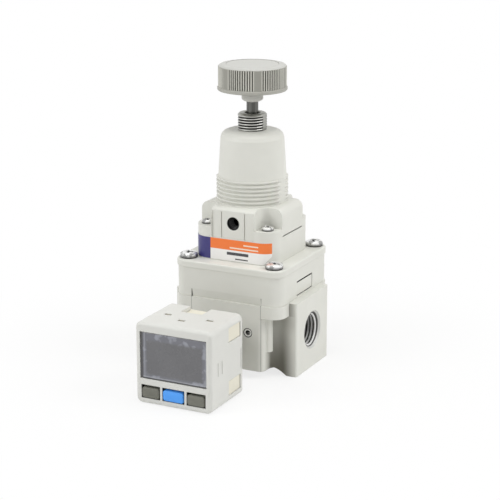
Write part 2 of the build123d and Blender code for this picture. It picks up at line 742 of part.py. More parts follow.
# Retaining ring in the groove below the valve guide, with a gap
with BuildPart() as retaining_ring:
    with BuildSketch(Plane.XY.offset(ring_bottom_z + fit_gap)):
        Circle(ring_groove_radius - fit_gap)
        Circle(guide_hexagon_radius + 0.9, mode=Mode.SUBTRACT)
        with Locations((0, -ring_groove_radius)):
            Rectangle(7, 6, mode=Mode.SUBTRACT)
    extrude(amount=ring_thickness - 2 * fit_gap)
retaining_ring.part.label = "retaining_ring"
export_step(retaining_ring.part, "parts/retaining_ring.step")

# Valve poppet with a stem above and a guide pin below, and its rubber disc
with BuildPart() as valve_poppet:
    turned([(0, poppet_guide_bottom_z), (poppet_guide_radius, poppet_guide_bottom_z),
            (poppet_guide_radius, poppet_bottom_z), (poppet_radius, poppet_bottom_z),
            (poppet_radius, poppet_rubber_bottom_z), (poppet_stem_radius, poppet_rubber_bottom_z),
            (poppet_stem_radius, relay_face_z), (0, relay_face_z)])
valve_poppet.part.label = "valve_poppet"
export_step(valve_poppet.part, "parts/valve_poppet.step")

with BuildPart() as valve_rubber:
    disc(poppet_radius, poppet_rubber_bottom_z, seat_z)
    disc(poppet_stem_radius + fit_gap, poppet_rubber_bottom_z - 1, seat_z + 1, Mode.SUBTRACT)
valve_rubber.part.label = "valve_rubber"
export_step(valve_rubber.part, "parts/valve_rubber.step")

with BuildPart() as valve_spring:
    coil(valve_spring_mean_radius, valve_spring_wire, guide_bore_top_z, poppet_bottom_z,
         valve_spring_turns)
valve_spring.part.label = "valve_spring"
export_step(valve_spring.part, "parts/valve_spring.step")

# Relay diaphragm: clamped rim at the parting plane, dished web, flat hub
with BuildPart() as relay_diaphragm:
    turned([(relay_neck_radius, relay_hub_bottom_z), (relay_hub_radius, relay_hub_bottom_z),
            (diaphragm_bore_radius - 0.3, parting_z - clamp_depth + fit_gap),
            (clamp_radius - fit_gap, parting_z - clamp_depth + fit_gap),
            (clamp_radius - fit_gap, parting_z + clamp_depth - fit_gap),
            (diaphragm_bore_radius - 0.5, parting_z + clamp_depth - fit_gap),
            (relay_hub_radius - 0.2, relay_hub_top_z), (relay_neck_radius, relay_hub_top_z)])
relay_diaphragm.part.label = "relay_diaphragm"
export_step(relay_diaphragm.part, "parts/relay_diaphragm.step")

# Relay piston: lower plate with the exhaust seat nose, and upper plate
with BuildPart() as relay_piston:
    turned([(relay_hole_radius, relay_face_z), (relay_nose_radius, relay_face_z),
            (relay_nose_radius, relay_hub_bottom_z - relay_plate_thickness),
            (relay_plate_radius, relay_hub_bottom_z - relay_plate_thickness),
            (relay_plate_radius, relay_hub_bottom_z),
            (relay_neck_radius - fit_gap, relay_hub_bottom_z),
            (relay_neck_radius - fit_gap, relay_hub_top_z + relay_plate_thickness + 1.0),
            (relay_hole_radius, relay_hub_top_z + relay_plate_thickness + 1.0)])
relay_piston.part.label = "relay_piston"
export_step(relay_piston.part, "parts/relay_piston.step")

with BuildPart() as relay_upper_plate:
    disc(relay_plate_radius, relay_hub_top_z, relay_hub_top_z + relay_plate_thickness)
    disc(relay_neck_radius, relay_hub_top_z - 1, relay_hub_top_z + 3, Mode.SUBTRACT)
relay_upper_plate.part.label = "relay_upper_plate"
export_step(relay_upper_plate.part, "parts/relay_upper_plate.step")

# Nozzle in the web of the mid body
with BuildPart() as nozzle:
    turned([(1.0, web_bottom_z + 0.5), (nozzle_radius, web_bottom_z + 0.5), (nozzle_radius, web_top_z),
            (3.4, web_top_z), (3.4, web_top_z + 0.9), (1.3, web_top_z + 0.9), (1.0, nozzle_tip_z),
            (0.4, nozzle_tip_z), (0.4, web_top_z), (1.0, web_top_z - 0.6)])
nozzle.part.label = "nozzle"
export_step(nozzle.part, "parts/nozzle.step")

# Measuring diaphragm between mid body and bonnet, dished upwards
with BuildPart() as measuring_diaphragm:
    turned([(flapper_stem_radius + fit_gap, upper_hub_bottom_z), (upper_hub_radius, upper_hub_bottom_z),
            (upper_bore_radius - 0.2, mid_top_z - upper_clamp_depth + fit_gap),
            (upper_clamp_radius - fit_gap, mid_top_z - upper_clamp_depth + fit_gap),
            (upper_clamp_radius - fit_gap, mid_top_z + upper_clamp_depth - fit_gap),
            (upper_bore_radius - 0.4, mid_top_z + upper_clamp_depth - fit_gap),
            (upper_hub_radius + 0.1, lower_seat_bottom_z),
            (flapper_stem_radius + fit_gap, lower_seat_bottom_z)])
measuring_diaphragm.part.label = "measuring_diaphragm"
export_step(measuring_diaphragm.part, "parts/measuring_diaphragm.step")

# Flapper: plate under the diaphragm, nose over the nozzle, stem through the lower spring seat
with BuildPart() as flapper:
    turned([(0, flapper_face_z), (flapper_nose_radius, flapper_face_z),
            (flapper_nose_radius, flapper_plate_bottom_z),
            (flapper_plate_radius, flapper_plate_bottom_z),
            (flapper_plate_radius, upper_hub_bottom_z), (flapper_stem_radius, upper_hub_bottom_z),
            (flapper_stem_radius, lower_seat_top_z + 1.4), (0, lower_seat_top_z + 1.4)])
flapper.part.label = "flapper"
export_step(flapper.part, "parts/flapper.step")

# Lower spring seat: shallow cup for the foot of the setting spring
with BuildPart() as lower_spring_seat:
    turned([(flapper_stem_radius + fit_gap, lower_seat_bottom_z),
            (lower_seat_radius, lower_seat_bottom_z), (lower_seat_radius, lower_seat_top_z),
            (spigot_radius, lower_seat_top_z),
            (spigot_radius - 0.3, lower_seat_top_z + seat_spigot_height),
            (flapper_stem_radius + fit_gap, lower_seat_top_z + seat_spigot_height)])
lower_spring_seat.part.label = "lower_spring_seat"
export_step(lower_spring_seat.part, "parts/lower_spring_seat.step")

# Upper spring seat and setting spring
with BuildPart() as upper_spring_seat:
    seat_radius = spring_bore_radius - spring_seat_clearance
    turned([(0, upper_seat_bottom_z - seat_spigot_height),
            (spigot_radius - 0.3, upper_seat_bottom_z - seat_spigot_height),
            (spigot_radius, upper_seat_bottom_z), (seat_radius, upper_seat_bottom_z),
            (seat_radius, screw_bottom_z - 1.2), (seat_radius - 1.2, screw_bottom_z),
            (0, screw_bottom_z)])
upper_spring_seat.part.label = "upper_spring_seat"
export_step(upper_spring_seat.part, "parts/upper_spring_seat.step")

with BuildPart() as setting_spring:
    coil(spring_mean_radius, spring_wire, lower_seat_top_z + spring_end_gap, upper_seat_bottom_z,
         spring_turns)
setting_spring.part.label = "setting_spring"
export_step(setting_spring.part, "parts/setting_spring.step")

# Threaded bush in the crown of the bonnet
with BuildPart() as threaded_bush:
    turned([(bush_bore_radius, spring_bore_top_z), (bush_shank_radius, spring_bore_top_z),
            (bush_shank_radius, bonnet_top_z), (bush_outer_radius, bonnet_top_z),
            (bush_outer_radius, bush_top_z - bush_chamfer), (bush_outer_radius - bush_chamfer, bush_top_z),
            (bush_bore_radius, bush_top_z)])
    block(bush_outer_radius - bush_flat_depth, bush_outer_radius + 1, -bush_outer_radius,
          bush_outer_radius, bonnet_top_z, bush_top_z + 1, Mode.SUBTRACT)
threaded_bush.part.label = "threaded_bush"
export_step(threaded_bush.part, "parts/threaded_bush.step")

# Adjusting screw: thread below, thin spindle above, and the clip that stops it at the top
with BuildPart() as adjusting_screw:
    turned([(0, screw_bottom_z), (screw_radius - 0.5, screw_bottom_z),
            (screw_radius, screw_bottom_z + 0.5), (screw_radius, screw_step_z - 0.5),
            (spindle_radius, screw_step_z + 0.3), (spindle_radius, spindle_top_z), (0, spindle_top_z)])
    disc(spindle_radius / 2 + fit_gap, spindle_top_z - 7, spindle_top_z + 1, Mode.SUBTRACT)
adjusting_screw.part.label = "adjusting_screw"
export_step(adjusting_screw.part, "parts/adjusting_screw.step")

with BuildPart() as screw_clip:
    disc(clip_radius, clip_bottom_z, clip_bottom_z + clip_thickness)
    disc(screw_radius + fit_gap, clip_bottom_z - 1, clip_bottom_z + 3, Mode.SUBTRACT)
screw_clip.part.label = "screw_clip"
export_step(screw_clip.part, "parts/screw_clip.step")

# Knob: hollow grip with six smooth pads between groups of fine grooves, and a hub below
with BuildPart() as knob:
    with BuildSketch(Plane.XY.offset(grip_bottom_z)):
        with BuildLine():
            outline = []
            for pad in range(pad_count):
                centre = pad_phase + pad * 360 / pad_count
                for index in range(grooves_per_group):
                    angle = centre + 180 / pad_count + (index - (grooves_per_group - 1) / 2) * groove_step
                    for offset, depth in ((-0.38, 0), (0, knob_groove_depth), (0.38, 0)):
                        a = radians(angle + offset * groove_step)
                        r = knob_grip_radius - depth
                        outline.append((r * cos(a), r * sin(a)))
                for offset in (-5, 0, 5):
                    a = radians(centre + 360 / pad_count + offset)
                    outline.append((knob_grip_radius * cos(a), knob_grip_radius * sin(a)))
            Polyline(*outline, close=True)
        make_face()
    extrude(amount=knob_top_z - knob_top_slope - grip_bottom_z)
    turned([(0, knob_bottom_z), (knob_rim_radius - 0.3, knob_bottom_z),
            (knob_rim_radius, knob_bottom_z + 0.3), (knob_rim_radius, grip_bottom_z - 0.3),
            (knob_grip_radius - 0.1, grip_bottom_z), (0, grip_bottom_z)])
    turned([(0, knob_top_z - knob_top_slope), (knob_grip_radius - 0.1, knob_top_z - knob_top_slope),
            (knob_grip_radius - 0.2, knob_top_z - knob_top_slope * 0.7),
            (knob_grip_radius - 0.7, knob_top_z - knob_top_slope * 0.3),
            (knob_face_radius + 0.2, knob_top_z), (0, knob_top_z)])
    disc(knob_cavity_radius, knob_bottom_z - 1, knob_cavity_top_z, Mode.SUBTRACT)
    turned([(0, hub_bottom_z), (hub_tip_radius, hub_bottom_z),
            (hub_radius, hub_bottom_z + hub_cone_height), (hub_radius, knob_cavity_top_z),
            (0, knob_cavity_top_z)])
    disc(knob_face_radius, knob_top_z - knob_cap_depth, knob_top_z + 1, Mode.SUBTRACT)
    disc(spindle_radius + fit_gap, hub_bottom_z - 1, knob_top_z, Mode.SUBTRACT)
    disc(spindle_radius + 0.7, spindle_top_z, knob_top_z, Mode.SUBTRACT)
knob.part.label = "knob"
export_step(knob.part, "parts/knob.step")

with BuildPart() as knob_cap:
    disc(knob_face_radius - 0.05, knob_top_z - knob_cap_depth, knob_top_z - 0.1)
knob_cap.part.label = "knob_cap"
export_step(knob_cap.part, "parts/knob_cap.step")

with BuildPart() as knob_screw:
    disc(spindle_radius + 0.4, spindle_top_z, spindle_top_z + 1.4)
    disc(spindle_radius / 2, spindle_top_z - 6, spindle_top_z)
    with BuildSketch(Plane.XY.offset(spindle_top_z + 1.4)):
        RegularPolygon(spindle_radius * 0.55, 6)
    extrude(amount=-0.9, mode=Mode.SUBTRACT)
knob_screw.part.label = "knob_screw"
export_step(knob_screw.part, "parts/knob_screw.step")

# Switch case: square front shell with window seat, button openings and snap windows
with BuildPart() as switch_case:
    block(-half_switch, half_switch, switch_front_y, case_back_y, switch_bottom_z, switch_top_z)
    fillet(switch_case.edges().filter_by(Axis.Y), case_corner)
    fillet(switch_case.edges().filter_by_position(Axis.Y, switch_front_y, switch_front_y), case_round)
    block(-case_inner, case_inner, panel_front_y, case_back_y + 1, switch_centre_z - case_inner,
          switch_centre_z + case_inner, Mode.SUBTRACT)
    block(-window_width / 2, window_width / 2, switch_front_y - 1, switch_front_y + window_thickness,
          window_centre_z - window_height / 2, window_centre_z + window_height / 2, Mode.SUBTRACT)
    block(-window_width / 2 + window_ledge, window_width / 2 - window_ledge, switch_front_y,
          switch_front_y + 4, window_centre_z - window_height / 2 + window_ledge,
          window_centre_z + window_height / 2 - window_ledge, Mode.SUBTRACT)
    for x, width in zip(button_xs, button_widths):
        block(x - width / 2 - button_gap, x + width / 2 + button_gap, switch_front_y - 1,
              switch_front_y + 4, button_z - button_height / 2 - button_gap,
              button_z + button_height / 2 + button_gap, Mode.SUBTRACT)
    for side in (-1, 1):
        for z in snap_zs:
            block(side * (case_inner - 1), side * (half_switch + 1), snap_back_y - snap_length,
                  snap_back_y, z - snap_height / 2, z + snap_height / 2, Mode.SUBTRACT)
    for x, y in top_slots:
        block(x - top_slot_width / 2, x + top_slot_width / 2, y - top_slot_length / 2,
              y + top_slot_length / 2, switch_top_z - 3, switch_top_z + 1, Mode.SUBTRACT)
    # Notch in the rear edge of the top wall, slits and marks on the side walls
    block(top_notch_x - top_notch_width / 2, top_notch_x + top_notch_width / 2,
          case_back_y - top_notch_length, case_back_y + 1, switch_top_z - case_wall - 0.1,
          switch_top_z + 1, Mode.SUBTRACT)
    for side in (-1, 1):
        block(side * (half_switch - 0.6), side * (half_switch + 1), case_back_y - 1.2,
              case_back_y - 0.8, switch_bottom_z + side_slit_rise,
              switch_bottom_z + side_slit_rise + side_slit_height, Mode.SUBTRACT)
        for y in (switch_front_y + 5.0, switch_front_y + 8.0):
            block(side * (half_switch - 0.25), side * (half_switch + 1), y, y + 0.35,
                  switch_centre_z - side_mark_height / 2, switch_centre_z + side_mark_height / 2,
                  Mode.SUBTRACT)
switch_case.part.label = "switch_case"
export_step(switch_case.part, "parts/switch_case.step")

# Window plate of the switch
with BuildPart() as switch_window:
    block(-window_width / 2 + running_gap, window_width / 2 - running_gap, switch_front_y + 0.1,
          switch_front_y + window_thickness, window_centre_z - window_height / 2 + running_gap,
          window_centre_z + window_height / 2 - running_gap)
switch_window.part.label = "switch_window"
export_step(switch_window.part, "parts/switch_window.step")

# Display panel behind the window
with BuildPart() as display_panel:
    block(-window_width / 2 + 0.5, window_width / 2 - 0.5, panel_front_y, panel_front_y + 1.4,
          window_centre_z - window_height / 2 + 0.2, window_centre_z + window_height / 2 - 0.2)
display_panel.part.label = "display_panel"
export_step(display_panel.part, "parts/display_panel.step")

# Buttons: cap in the opening, wider flange behind the front wall
for name, x, width in zip(("button_left", "button_middle", "button_right"), button_xs, button_widths):
    with BuildPart() as button:
        block(x - width / 2, x + width / 2, switch_front_y - button_proud, panel_front_y + 0.1,
              button_z - button_height / 2, button_z + button_height / 2)
        fillet(button.edges().filter_by_position(Axis.Y, switch_front_y - button_proud,
                                                 switch_front_y - button_proud), 0.5)
        block(x - width / 2 - button_flange, x + width / 2 + button_flange, panel_front_y + 0.05,
              panel_front_y + 0.8, button_z - button_height / 2 - 0.5, button_z + button_height / 2)
        rod_y(0.8, panel_front_y + 0.5, button_stem_y, x, button_z)
    button.part.label = name
    export_step(button.part, "parts/" + name + ".step")

# Circuit board across the switch case, with the button contacts, and the sensor block behind it
with BuildPart() as circuit_board:
    inner = case_inner - loose_gap
    block(-inner, inner, board_front_y, board_front_y + board_thickness, switch_centre_z - inner,
          switch_centre_z + inner)
    for x in button_xs:
        rod_y(1.3, button_stem_y + button_travel + fit_gap, board_front_y, x, button_z)
circuit_board.part.label = "circuit_board"
export_step(circuit_board.part, "parts/circuit_board.step")

# Rear shell: lighter inner cup that slides into the case, with the cable socket opening
with BuildPart() as switch_rear:
    inner = case_inner - loose_gap
    hollow = inner - rear_side_wall
    cup_front_y = board_front_y + board_thickness + loose_gap
    block(-inner, inner, cup_front_y, switch_back_y, switch_centre_z - inner, switch_centre_z + inner)
    block(-hollow, hollow, cup_front_y - 1, switch_back_y - rear_wall, switch_centre_z - hollow,
          switch_centre_z + hollow, Mode.SUBTRACT)
    block(socket_x - socket_width / 2, socket_x + socket_width / 2, switch_back_y - 4,
          switch_back_y + 1, socket_z - socket_height / 2, socket_z + socket_height / 2, Mode.SUBTRACT)
    rod_y(sensor_spigot_radius, switch_back_y - 4, switch_back_y + 1, 0, gauge_axis_z, Mode.SUBTRACT)
    for side in (-1, 1):
        rod_y(adapter_screw_shank + fit_gap, switch_back_y - 4, switch_back_y + 1,
              side * adapter_screw_spacing / 2, adapter_screw_z, Mode.SUBTRACT)
    # Snap latches show in the side windows of the case, tabs in its top slots
    for side in (-1, 1):
        for z in snap_zs:
            block(side * (inner - 0.5), side * (half_switch - 0.35),
                  snap_back_y - snap_length + loose_gap, snap_back_y - loose_gap,
                  z - snap_height / 2 + loose_gap, z + snap_height / 2 - loose_gap)
    for x, y in top_slots:
        block(x - top_slot_width / 2 + loose_gap, x + top_slot_width / 2 - loose_gap,
              y - top_slot_length / 2 + loose_gap, y + top_slot_length / 2 - loose_gap,
              switch_centre_z + inner - 0.5, switch_top_z - 0.6)
switch_rear.part.label = "switch_rear"
export_step(switch_rear.part, "parts/switch_rear.step")

# Connector socket with its row of pins
with BuildPart() as connector_socket:
    shell_x = socket_width / 2 - fit_gap
    shell_z = socket_height / 2 - fit_gap
    block(socket_x - shell_x, socket_x + shell_x, switch_back_y - socket_depth, switch_back_y - 0.4,
          socket_z - shell_z, socket_z + shell_z)
    block(socket_x - shell_x + socket_wall, socket_x + shell_x - socket_wall, socket_bottom_y,
          switch_back_y + 1, socket_z - shell_z + socket_wall, socket_z + shell_z - socket_wall,
          Mode.SUBTRACT)
connector_socket.part.label = "connector_socket"
export_step(connector_socket.part, "parts/connector_socket.step")

with BuildPart() as connector_pins:
    for index in range(pin_count):
        x = socket_x + (index - (pin_count - 1) / 2) * pin_pitch
        block(x - pin_size / 2, x + pin_size / 2, socket_bottom_y, socket_bottom_y + pin_length,
              socket_z - pin_size / 2, socket_z + pin_size / 2)
connector_pins.part.label = "connector_pins"
export_step(connector_pins.part, "parts/connector_pins.step")

# Pressure sensor block behind the rear wall
with BuildPart() as sensor_block:
    sensor_back_y = switch_back_y - rear_wall
    sensor_half = sensor_spigot_radius + sensor_margin
    block(-sensor_half - 1, socket_x - socket_width / 2 - 0.2, sensor_back_y - sensor_depth, sensor_back_y,
          gauge_axis_z - sensor_half, gauge_axis_z + sensor_half)
    rod_y(sensor_spigot_radius - fit_gap, sensor_back_y - 2, switch_back_y - fit_gap, 0, gauge_axis_z)
    rod_y(1.0, sensor_back_y - 5, switch_back_y + 1, 0, gauge_axis_z, Mode.SUBTRACT)
sensor_block.part.label = "sensor_block"
export_step(sensor_block.part, "parts/sensor_block.step")

# Adapter between the front gauge port and the switch: flange, neck, hexagon and threaded end
with BuildPart() as switch_adapter:
    flange_back_y = switch_back_y + adapter_flange_thickness
    block(-adapter_flange_width / 2, adapter_flange_width / 2, switch_back_y, flange_back_y,
          gauge_axis_z - adapter_flange_below, gauge_axis_z + adapter_flange_above)
    rod_y(adapter_neck_radius, flange_back_y - 1, -half_body, 0, gauge_axis_z)
    with BuildSketch(Plane(origin=(0, -half_body, gauge_axis_z), z_dir=(0, -1, 0))):
        RegularPolygon(adapter_hexagon_radius, 6)
    extrude(amount=adapter_hexagon_length)
    adapter_end_y = -half_body + gauge_depth - 2
    rod_y(gauge_radius - fit_gap, -half_body, adapter_end_y, 0, gauge_axis_z)
    rod_y(gauge_passage_radius, switch_back_y - 1, adapter_end_y + 1, 0, gauge_axis_z, Mode.SUBTRACT)
    for side in (-1, 1):
        rod_y(adapter_screw_shank + 0.15, switch_back_y - 1, flange_back_y + 1,
              side * adapter_screw_spacing / 2, adapter_screw_z, Mode.SUBTRACT)
switch_adapter.part.label = "switch_adapter"
export_step(switch_adapter.part, "parts/switch_adapter.step")

with BuildPart() as adapter_ring:
    rubber_ring((0, adapter_end_y + 0.6, gauge_axis_z), (0, 1, 0), gauge_radius - 0.65, 0.55)
adapter_ring.part.label = "adapter_ring"
export_step(adapter_ring.part, "parts/adapter_ring.step")

with BuildPart() as adapter_screws:
    for side in (-1, 1):
        x = side * adapter_screw_spacing / 2
        rod_y(adapter_screw_shank, switch_back_y - rear_wall - 1, flange_back_y, x, adapter_screw_z)
        rod_y(2 * adapter_screw_shank, flange_back_y, flange_back_y + 1.4, x, adapter_screw_z)
adapter_screws.part.label = "adapter_screws"
export_step(adapter_screws.part, "parts/adapter_screws.step")
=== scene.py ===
# %% [markdown]
# # A precision pressure regulator for the workshop shelf
# The object is a small cast body with pipe ports left and right, a threaded bonnet with a grey
# adjusting knob on top, and a square digital pressure switch screwed to its front. The solid parts
# come from a shared frame, which also knows how they move. This lesson dresses them: it gives every
# part its finish, builds the finer pieces as meshes, and sets up a camera and a plain studio.

from math import atan2, cos, hypot, pi, radians, sin, sqrt

import bmesh
import bpy
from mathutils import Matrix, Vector


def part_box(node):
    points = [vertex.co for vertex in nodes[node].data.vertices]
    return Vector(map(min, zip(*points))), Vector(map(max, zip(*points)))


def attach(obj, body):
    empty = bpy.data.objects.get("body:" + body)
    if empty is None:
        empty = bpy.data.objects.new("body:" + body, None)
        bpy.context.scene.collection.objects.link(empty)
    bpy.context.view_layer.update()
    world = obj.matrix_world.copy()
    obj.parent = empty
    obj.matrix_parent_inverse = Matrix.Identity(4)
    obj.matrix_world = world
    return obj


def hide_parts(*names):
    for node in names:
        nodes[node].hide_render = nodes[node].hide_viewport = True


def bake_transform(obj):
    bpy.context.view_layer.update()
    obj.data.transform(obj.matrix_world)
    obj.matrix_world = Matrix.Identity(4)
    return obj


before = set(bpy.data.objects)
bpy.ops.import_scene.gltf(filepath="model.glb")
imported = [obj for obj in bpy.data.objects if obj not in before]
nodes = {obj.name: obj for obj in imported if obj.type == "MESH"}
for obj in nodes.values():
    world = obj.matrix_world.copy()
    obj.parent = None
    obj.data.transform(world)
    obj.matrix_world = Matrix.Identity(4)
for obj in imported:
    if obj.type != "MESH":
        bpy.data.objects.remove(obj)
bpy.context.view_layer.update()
print("parts in the frame:", len(nodes))

# %% [markdown]
# ## Measures that several cells share
# A thread and the bare metal round it lie on one axis, and a screw and the painted shade at its foot
# share one seat.

# %% Shared measures
MM = 0.001
BOSS_REACH, BODY_REACH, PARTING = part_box("lower_body")[1]
PORT_HEIGHT, BLEED_HEIGHT = 14.5 * MM, 56.0 * MM
SIDE_WALL, CROWN_TOP, BUSH_FLAT = 21.6 * MM, 88.4 * MM, 5.0 * MM
COVER_SUNK, COVER_SLOT = 0.12 * MM, 1.1 * MM
BODY_SCREW = {"offset": 17.5 * MM, "seat": 41.8 * MM, "head_radius": 3.28 * MM,
              "head_height": 2.2 * MM, "shank_radius": 1.7 * MM, "first_turn": 12}
BONNET_SCREW = {"offset": 12.3 * MM, "seat": 54.2 * MM, "head_radius": 2.23 * MM,
                "head_height": 1.5 * MM, "shank_radius": 1.2 * MM, "first_turn": 38}
print("castings part at z =", round(PARTING / MM, 2), "mm")

# %% [markdown]
# ## A small language for finishes
# A material in Blender is a graph of nodes, and wiring it by hand takes a line for every link. The
# class below wraps one output of the graph, so that plus, minus and times add the Math nodes by
# themselves, also when a plain number stands first, as in 1 - mask. Directions use Vector Math,
# because a Math node would keep only one of their three numbers.

# %% Sockets that can be calculated with
class Signal:
    def __init__(self, graph, socket):
        self.graph, self.socket = graph, socket

    def calc(self, operation, *values):
        kind = "ShaderNodeVectorMath" if self.socket.type == "VECTOR" else "ShaderNodeMath"
        return self.graph.node(kind, {"operation": operation}, dict(enumerate(values)))

    def __add__(self, other):
        return self.calc("ADD", self, other)

    __radd__ = __add__

    def __sub__(self, other):
        return self.calc("SUBTRACT", self, other)

    def __rsub__(self, other):
        return self.calc("SUBTRACT", other, self)

    def __mul__(self, other):
        return self.calc("MULTIPLY", self, other)

    __rmul__ = __mul__

    def __truediv__(self, other):
        return self.calc("DIVIDE", self, other)

    def __rtruediv__(self, other):
        return self.calc("DIVIDE", other, self)

    def __gt__(self, other):
        return self.calc("GREATER_THAN", self, other)

    def __lt__(self, other):
        return self.calc("LESS_THAN", self, other)

    def step(self, low, high):
        """0 below low, 1 above high, with a soft ramp between them."""
        return self.graph.node("ShaderNodeMapRange", {"interpolation_type": "SMOOTHSTEP"},
                               {"Value": self, "From Min": low, "From Max": high})

    def band(self, low, high, soft=0.1 * MM):
        """1 between low and high, with soft ends, and 0 outside."""
        return self.step(low - soft, low) * (1 - self.step(high, high + soft))

    def wave(self, pitch):
        """Swings between -1 and 1 once in every pitch."""
        phase = self * (2 * pi / pitch)
        return phase.calc("SINE", phase)


def apart(across, up):
    """Length of the slanted line over two distances at right angles."""
    squares = across * across + up * up
    return squares.calc("SQRT", squares)


print("sockets understand: + - * / > < step band wave")

# %% [markdown]
# Every other node comes from one method, which takes the node's type, its settings and the values of
# its sockets. What is the same all over a surface is written straight onto the shader, and only what
# varies gets a node. Patterns are measured in metres on the object, so the grain moves with the part.
# Every recipe puts its material into the dictionary finishes, where the parts find it by name.

# %% Graphs and recipes
class Graph:
    def __init__(self, tree):
        self.tree = tree

    def node(self, kind, settings=None, inputs=None, output=0):
        made = self.tree.nodes.new(kind)
        for key, value in (settings or {}).items():
            setattr(made, key, value)
        for key, value in (inputs or {}).items():
            if isinstance(value, Signal):
                self.tree.links.new(value.socket, made.inputs[key])
            else:
                made.inputs[key].default_value = value
        return made if output is None else Signal(self, made.outputs[output])


finishes = {}


class Recipe(Graph):
    """One material with its shader. Words joined by _ name the sockets of that shader."""

    def __init__(self, name, **constants):
        self.material = finishes[name] = bpy.data.materials.new(name)
        self.material.use_nodes = True
        super().__init__(self.material.node_tree)
        self.shader = self.tree.nodes["Principled BSDF"]
        for key, value in constants.items():
            self.shader_input(key).default_value = value
        self.place = self.node("ShaderNodeTexCoord", output="Object")
        parts = self.node("ShaderNodeSeparateXYZ", {}, {"Vector": self.place}, output=None)
        self.x, self.y, self.z = (Signal(self, parts.outputs[index]) for index in range(3))
        self.across, self.along = (side.calc("ABSOLUTE", side) for side in (self.x, self.y))

    def shader_input(self, key):
        return self.shader.inputs[key.replace("_", " ").title().replace("Ior", "IOR")]

    def feed(self, **signals):
        for key, signal in signals.items():
            self.tree.links.new(signal.socket, self.shader_input(key))

    def noise(self, grain, detail=3.0, roughness=0.55, stretch=(1, 1, 1)):
        """Cloudy noise from 0 to 1 whose lumps are about one grain, in metres, across."""
        place = self.place * stretch if stretch != (1, 1, 1) else self.place
        return self.node("ShaderNodeTexNoise", {}, {"Vector": place, "Scale": 1 / grain,
                                                    "Detail": detail, "Roughness": roughness})

    def mixed(self, colour_a, colour_b, mask):
        """colour_a where the mask is 0 and colour_b where it is 1; a bare tuple is a screen colour."""
        pair = [screen(*one) if isinstance(one, tuple) else one for one in (colour_a, colour_b)]
        return self.node("ShaderNodeMix", {"data_type": "RGBA"},
                         {"Factor": mask, 6: pair[0], 7: pair[1]}, output=2)

    def layers(self, base, *coats):
        """Lays pairs of colour and mask over a base, one on top of the other."""
        for colour, mask in coats:
            base = self.mixed(base, colour, mask)
        return base

    def from_axis(self, axis, a=0.0, b=0.0):
        """Distance from a line along x, y or z through the given two other coordinates."""
        u, v = {"x": (self.y, self.z), "y": (self.x, self.z), "z": (self.x, self.y)}[axis]
        return apart(u - a, v - b)

    def surface(self, colour, rough, height, depth, edge=0.0, **more):
        """Feeds the shader and adds bumps. Their depth and the edge radius, which rounds the corners of
        the shading, are in millimetres."""
        entries = {"Height": height, "Distance": depth * MM, "Strength": 1.0}
        if edge:
            entries["Normal"] = self.node("ShaderNodeBevel", {"samples": 6}, {"Radius": edge * MM})
        bump = self.node("ShaderNodeBump", {}, entries)
        self.feed(Base_Color=colour, Roughness=rough, Normal=bump, **more)


def screen(*shown):
    """Red, green and blue from 0 to 255, as a picture shows them, in the linear numbers of a shader."""
    parts = [value / 255 for value in shown]
    linear = [part / 12.92 if part <= 0.04045 else ((part + 0.055) / 1.055) ** 2.4 for part in parts]
    return (*linear, 1.0)


print("middle grey in linear numbers:", round(screen(128, 128, 128)[0], 3))

# %% [markdown]
# ## Painted casting
# The three castings are die-cast aluminium under a warm off-white paint with a fine orange-peel skin.
# The recipe reads best as layers, each from a function of its own. First comes a mask for the bores,
# which were cut after painting and are bare metal. It measures the distance from each bore's axis.

# %% Bare metal where bores were cut
def bare_metal(paint):
    """Masks of all bores, of the bright port mouths, and of the painted shade inside the bleed port."""
    port_floor, mouth_radius, mouth_start = 13.0 * MM, 7.28 * MM, 24.2 * MM
    bleed_radius, bleed_front, bonnet_low = 2.5 * MM, -15.8 * MM, 50.0 * MM
    core_radius, crown_underside = 9.3 * MM, 84.0 * MM
    in_port = (paint.from_axis("x", 0, PORT_HEIGHT) < mouth_radius) * (paint.across > port_floor)
    in_bleed = (paint.from_axis("y", 0, BLEED_HEIGHT) < bleed_radius) * (paint.z > bonnet_low)
    in_core = (paint.from_axis("z") < core_radius) * (paint.z < crown_underside)
    mouth = in_port * (paint.across > mouth_start)
    # Painted shade: the bleed port turns black further in.
    black = in_bleed * paint.y.step(bleed_front - 0.5 * MM, bleed_front + 0.3 * MM)
    return (in_port + in_bleed + in_core).step(0.4, 0.6), mouth, black


print("bare metal: ports, bleed port, spring bore")

# %% [markdown]
# The recess between a port boss and the body is deep, and light hardly gets in. Some of that shade is
# painted. The round rib in it stands forward and stays pale, and the strip by the flange is half dark.

# %% Shade in the recesses
def recess_shade(paint):
    recess_x, recess_y, flange = 6.7 * MM, 8.0 * MM, 4.7 * MM
    rib_x, rib_y, rib_end = BODY_REACH - 7.1 * MM, BODY_REACH - 4.6 * MM, 10.0 * MM
    sideways = (paint.across - (BODY_REACH - recess_x)) / (BOSS_REACH - BODY_REACH + recess_x)
    inwards = (BODY_REACH - paint.along) / recess_y
    deep = inwards.step(0.05, 0.8) * (1 - sideways.step(0.40, 1.0)) * sideways.step(-0.04, 0.04)
    below_flange = 1 - paint.z.step(PARTING - flange - 0.5 * MM, PARTING - flange)
    from_rib = apart(paint.across - rib_x, paint.along - rib_y)
    on_rib = (1 - from_rib.step(1.95 * MM, 2.3 * MM)) * paint.z.step(rib_end - 0.4 * MM, rib_end)
    low_down = 1 - paint.z.step(2.0 * MM, 20 * MM)
    shade = deep * below_flange * (1 - on_rib) * (0.57 + low_down * 0.34)
    beside = inwards.band(0.97, 1.02, 0.02) * (paint.across > BODY_REACH - 0.1 * MM)
    beside = beside * (1 - paint.across.step(BODY_REACH, BOSS_REACH)) * (paint.z < PARTING)
    return shade + beside * (1 - below_flange) * 0.5


print("shade: the recesses beside the ports")
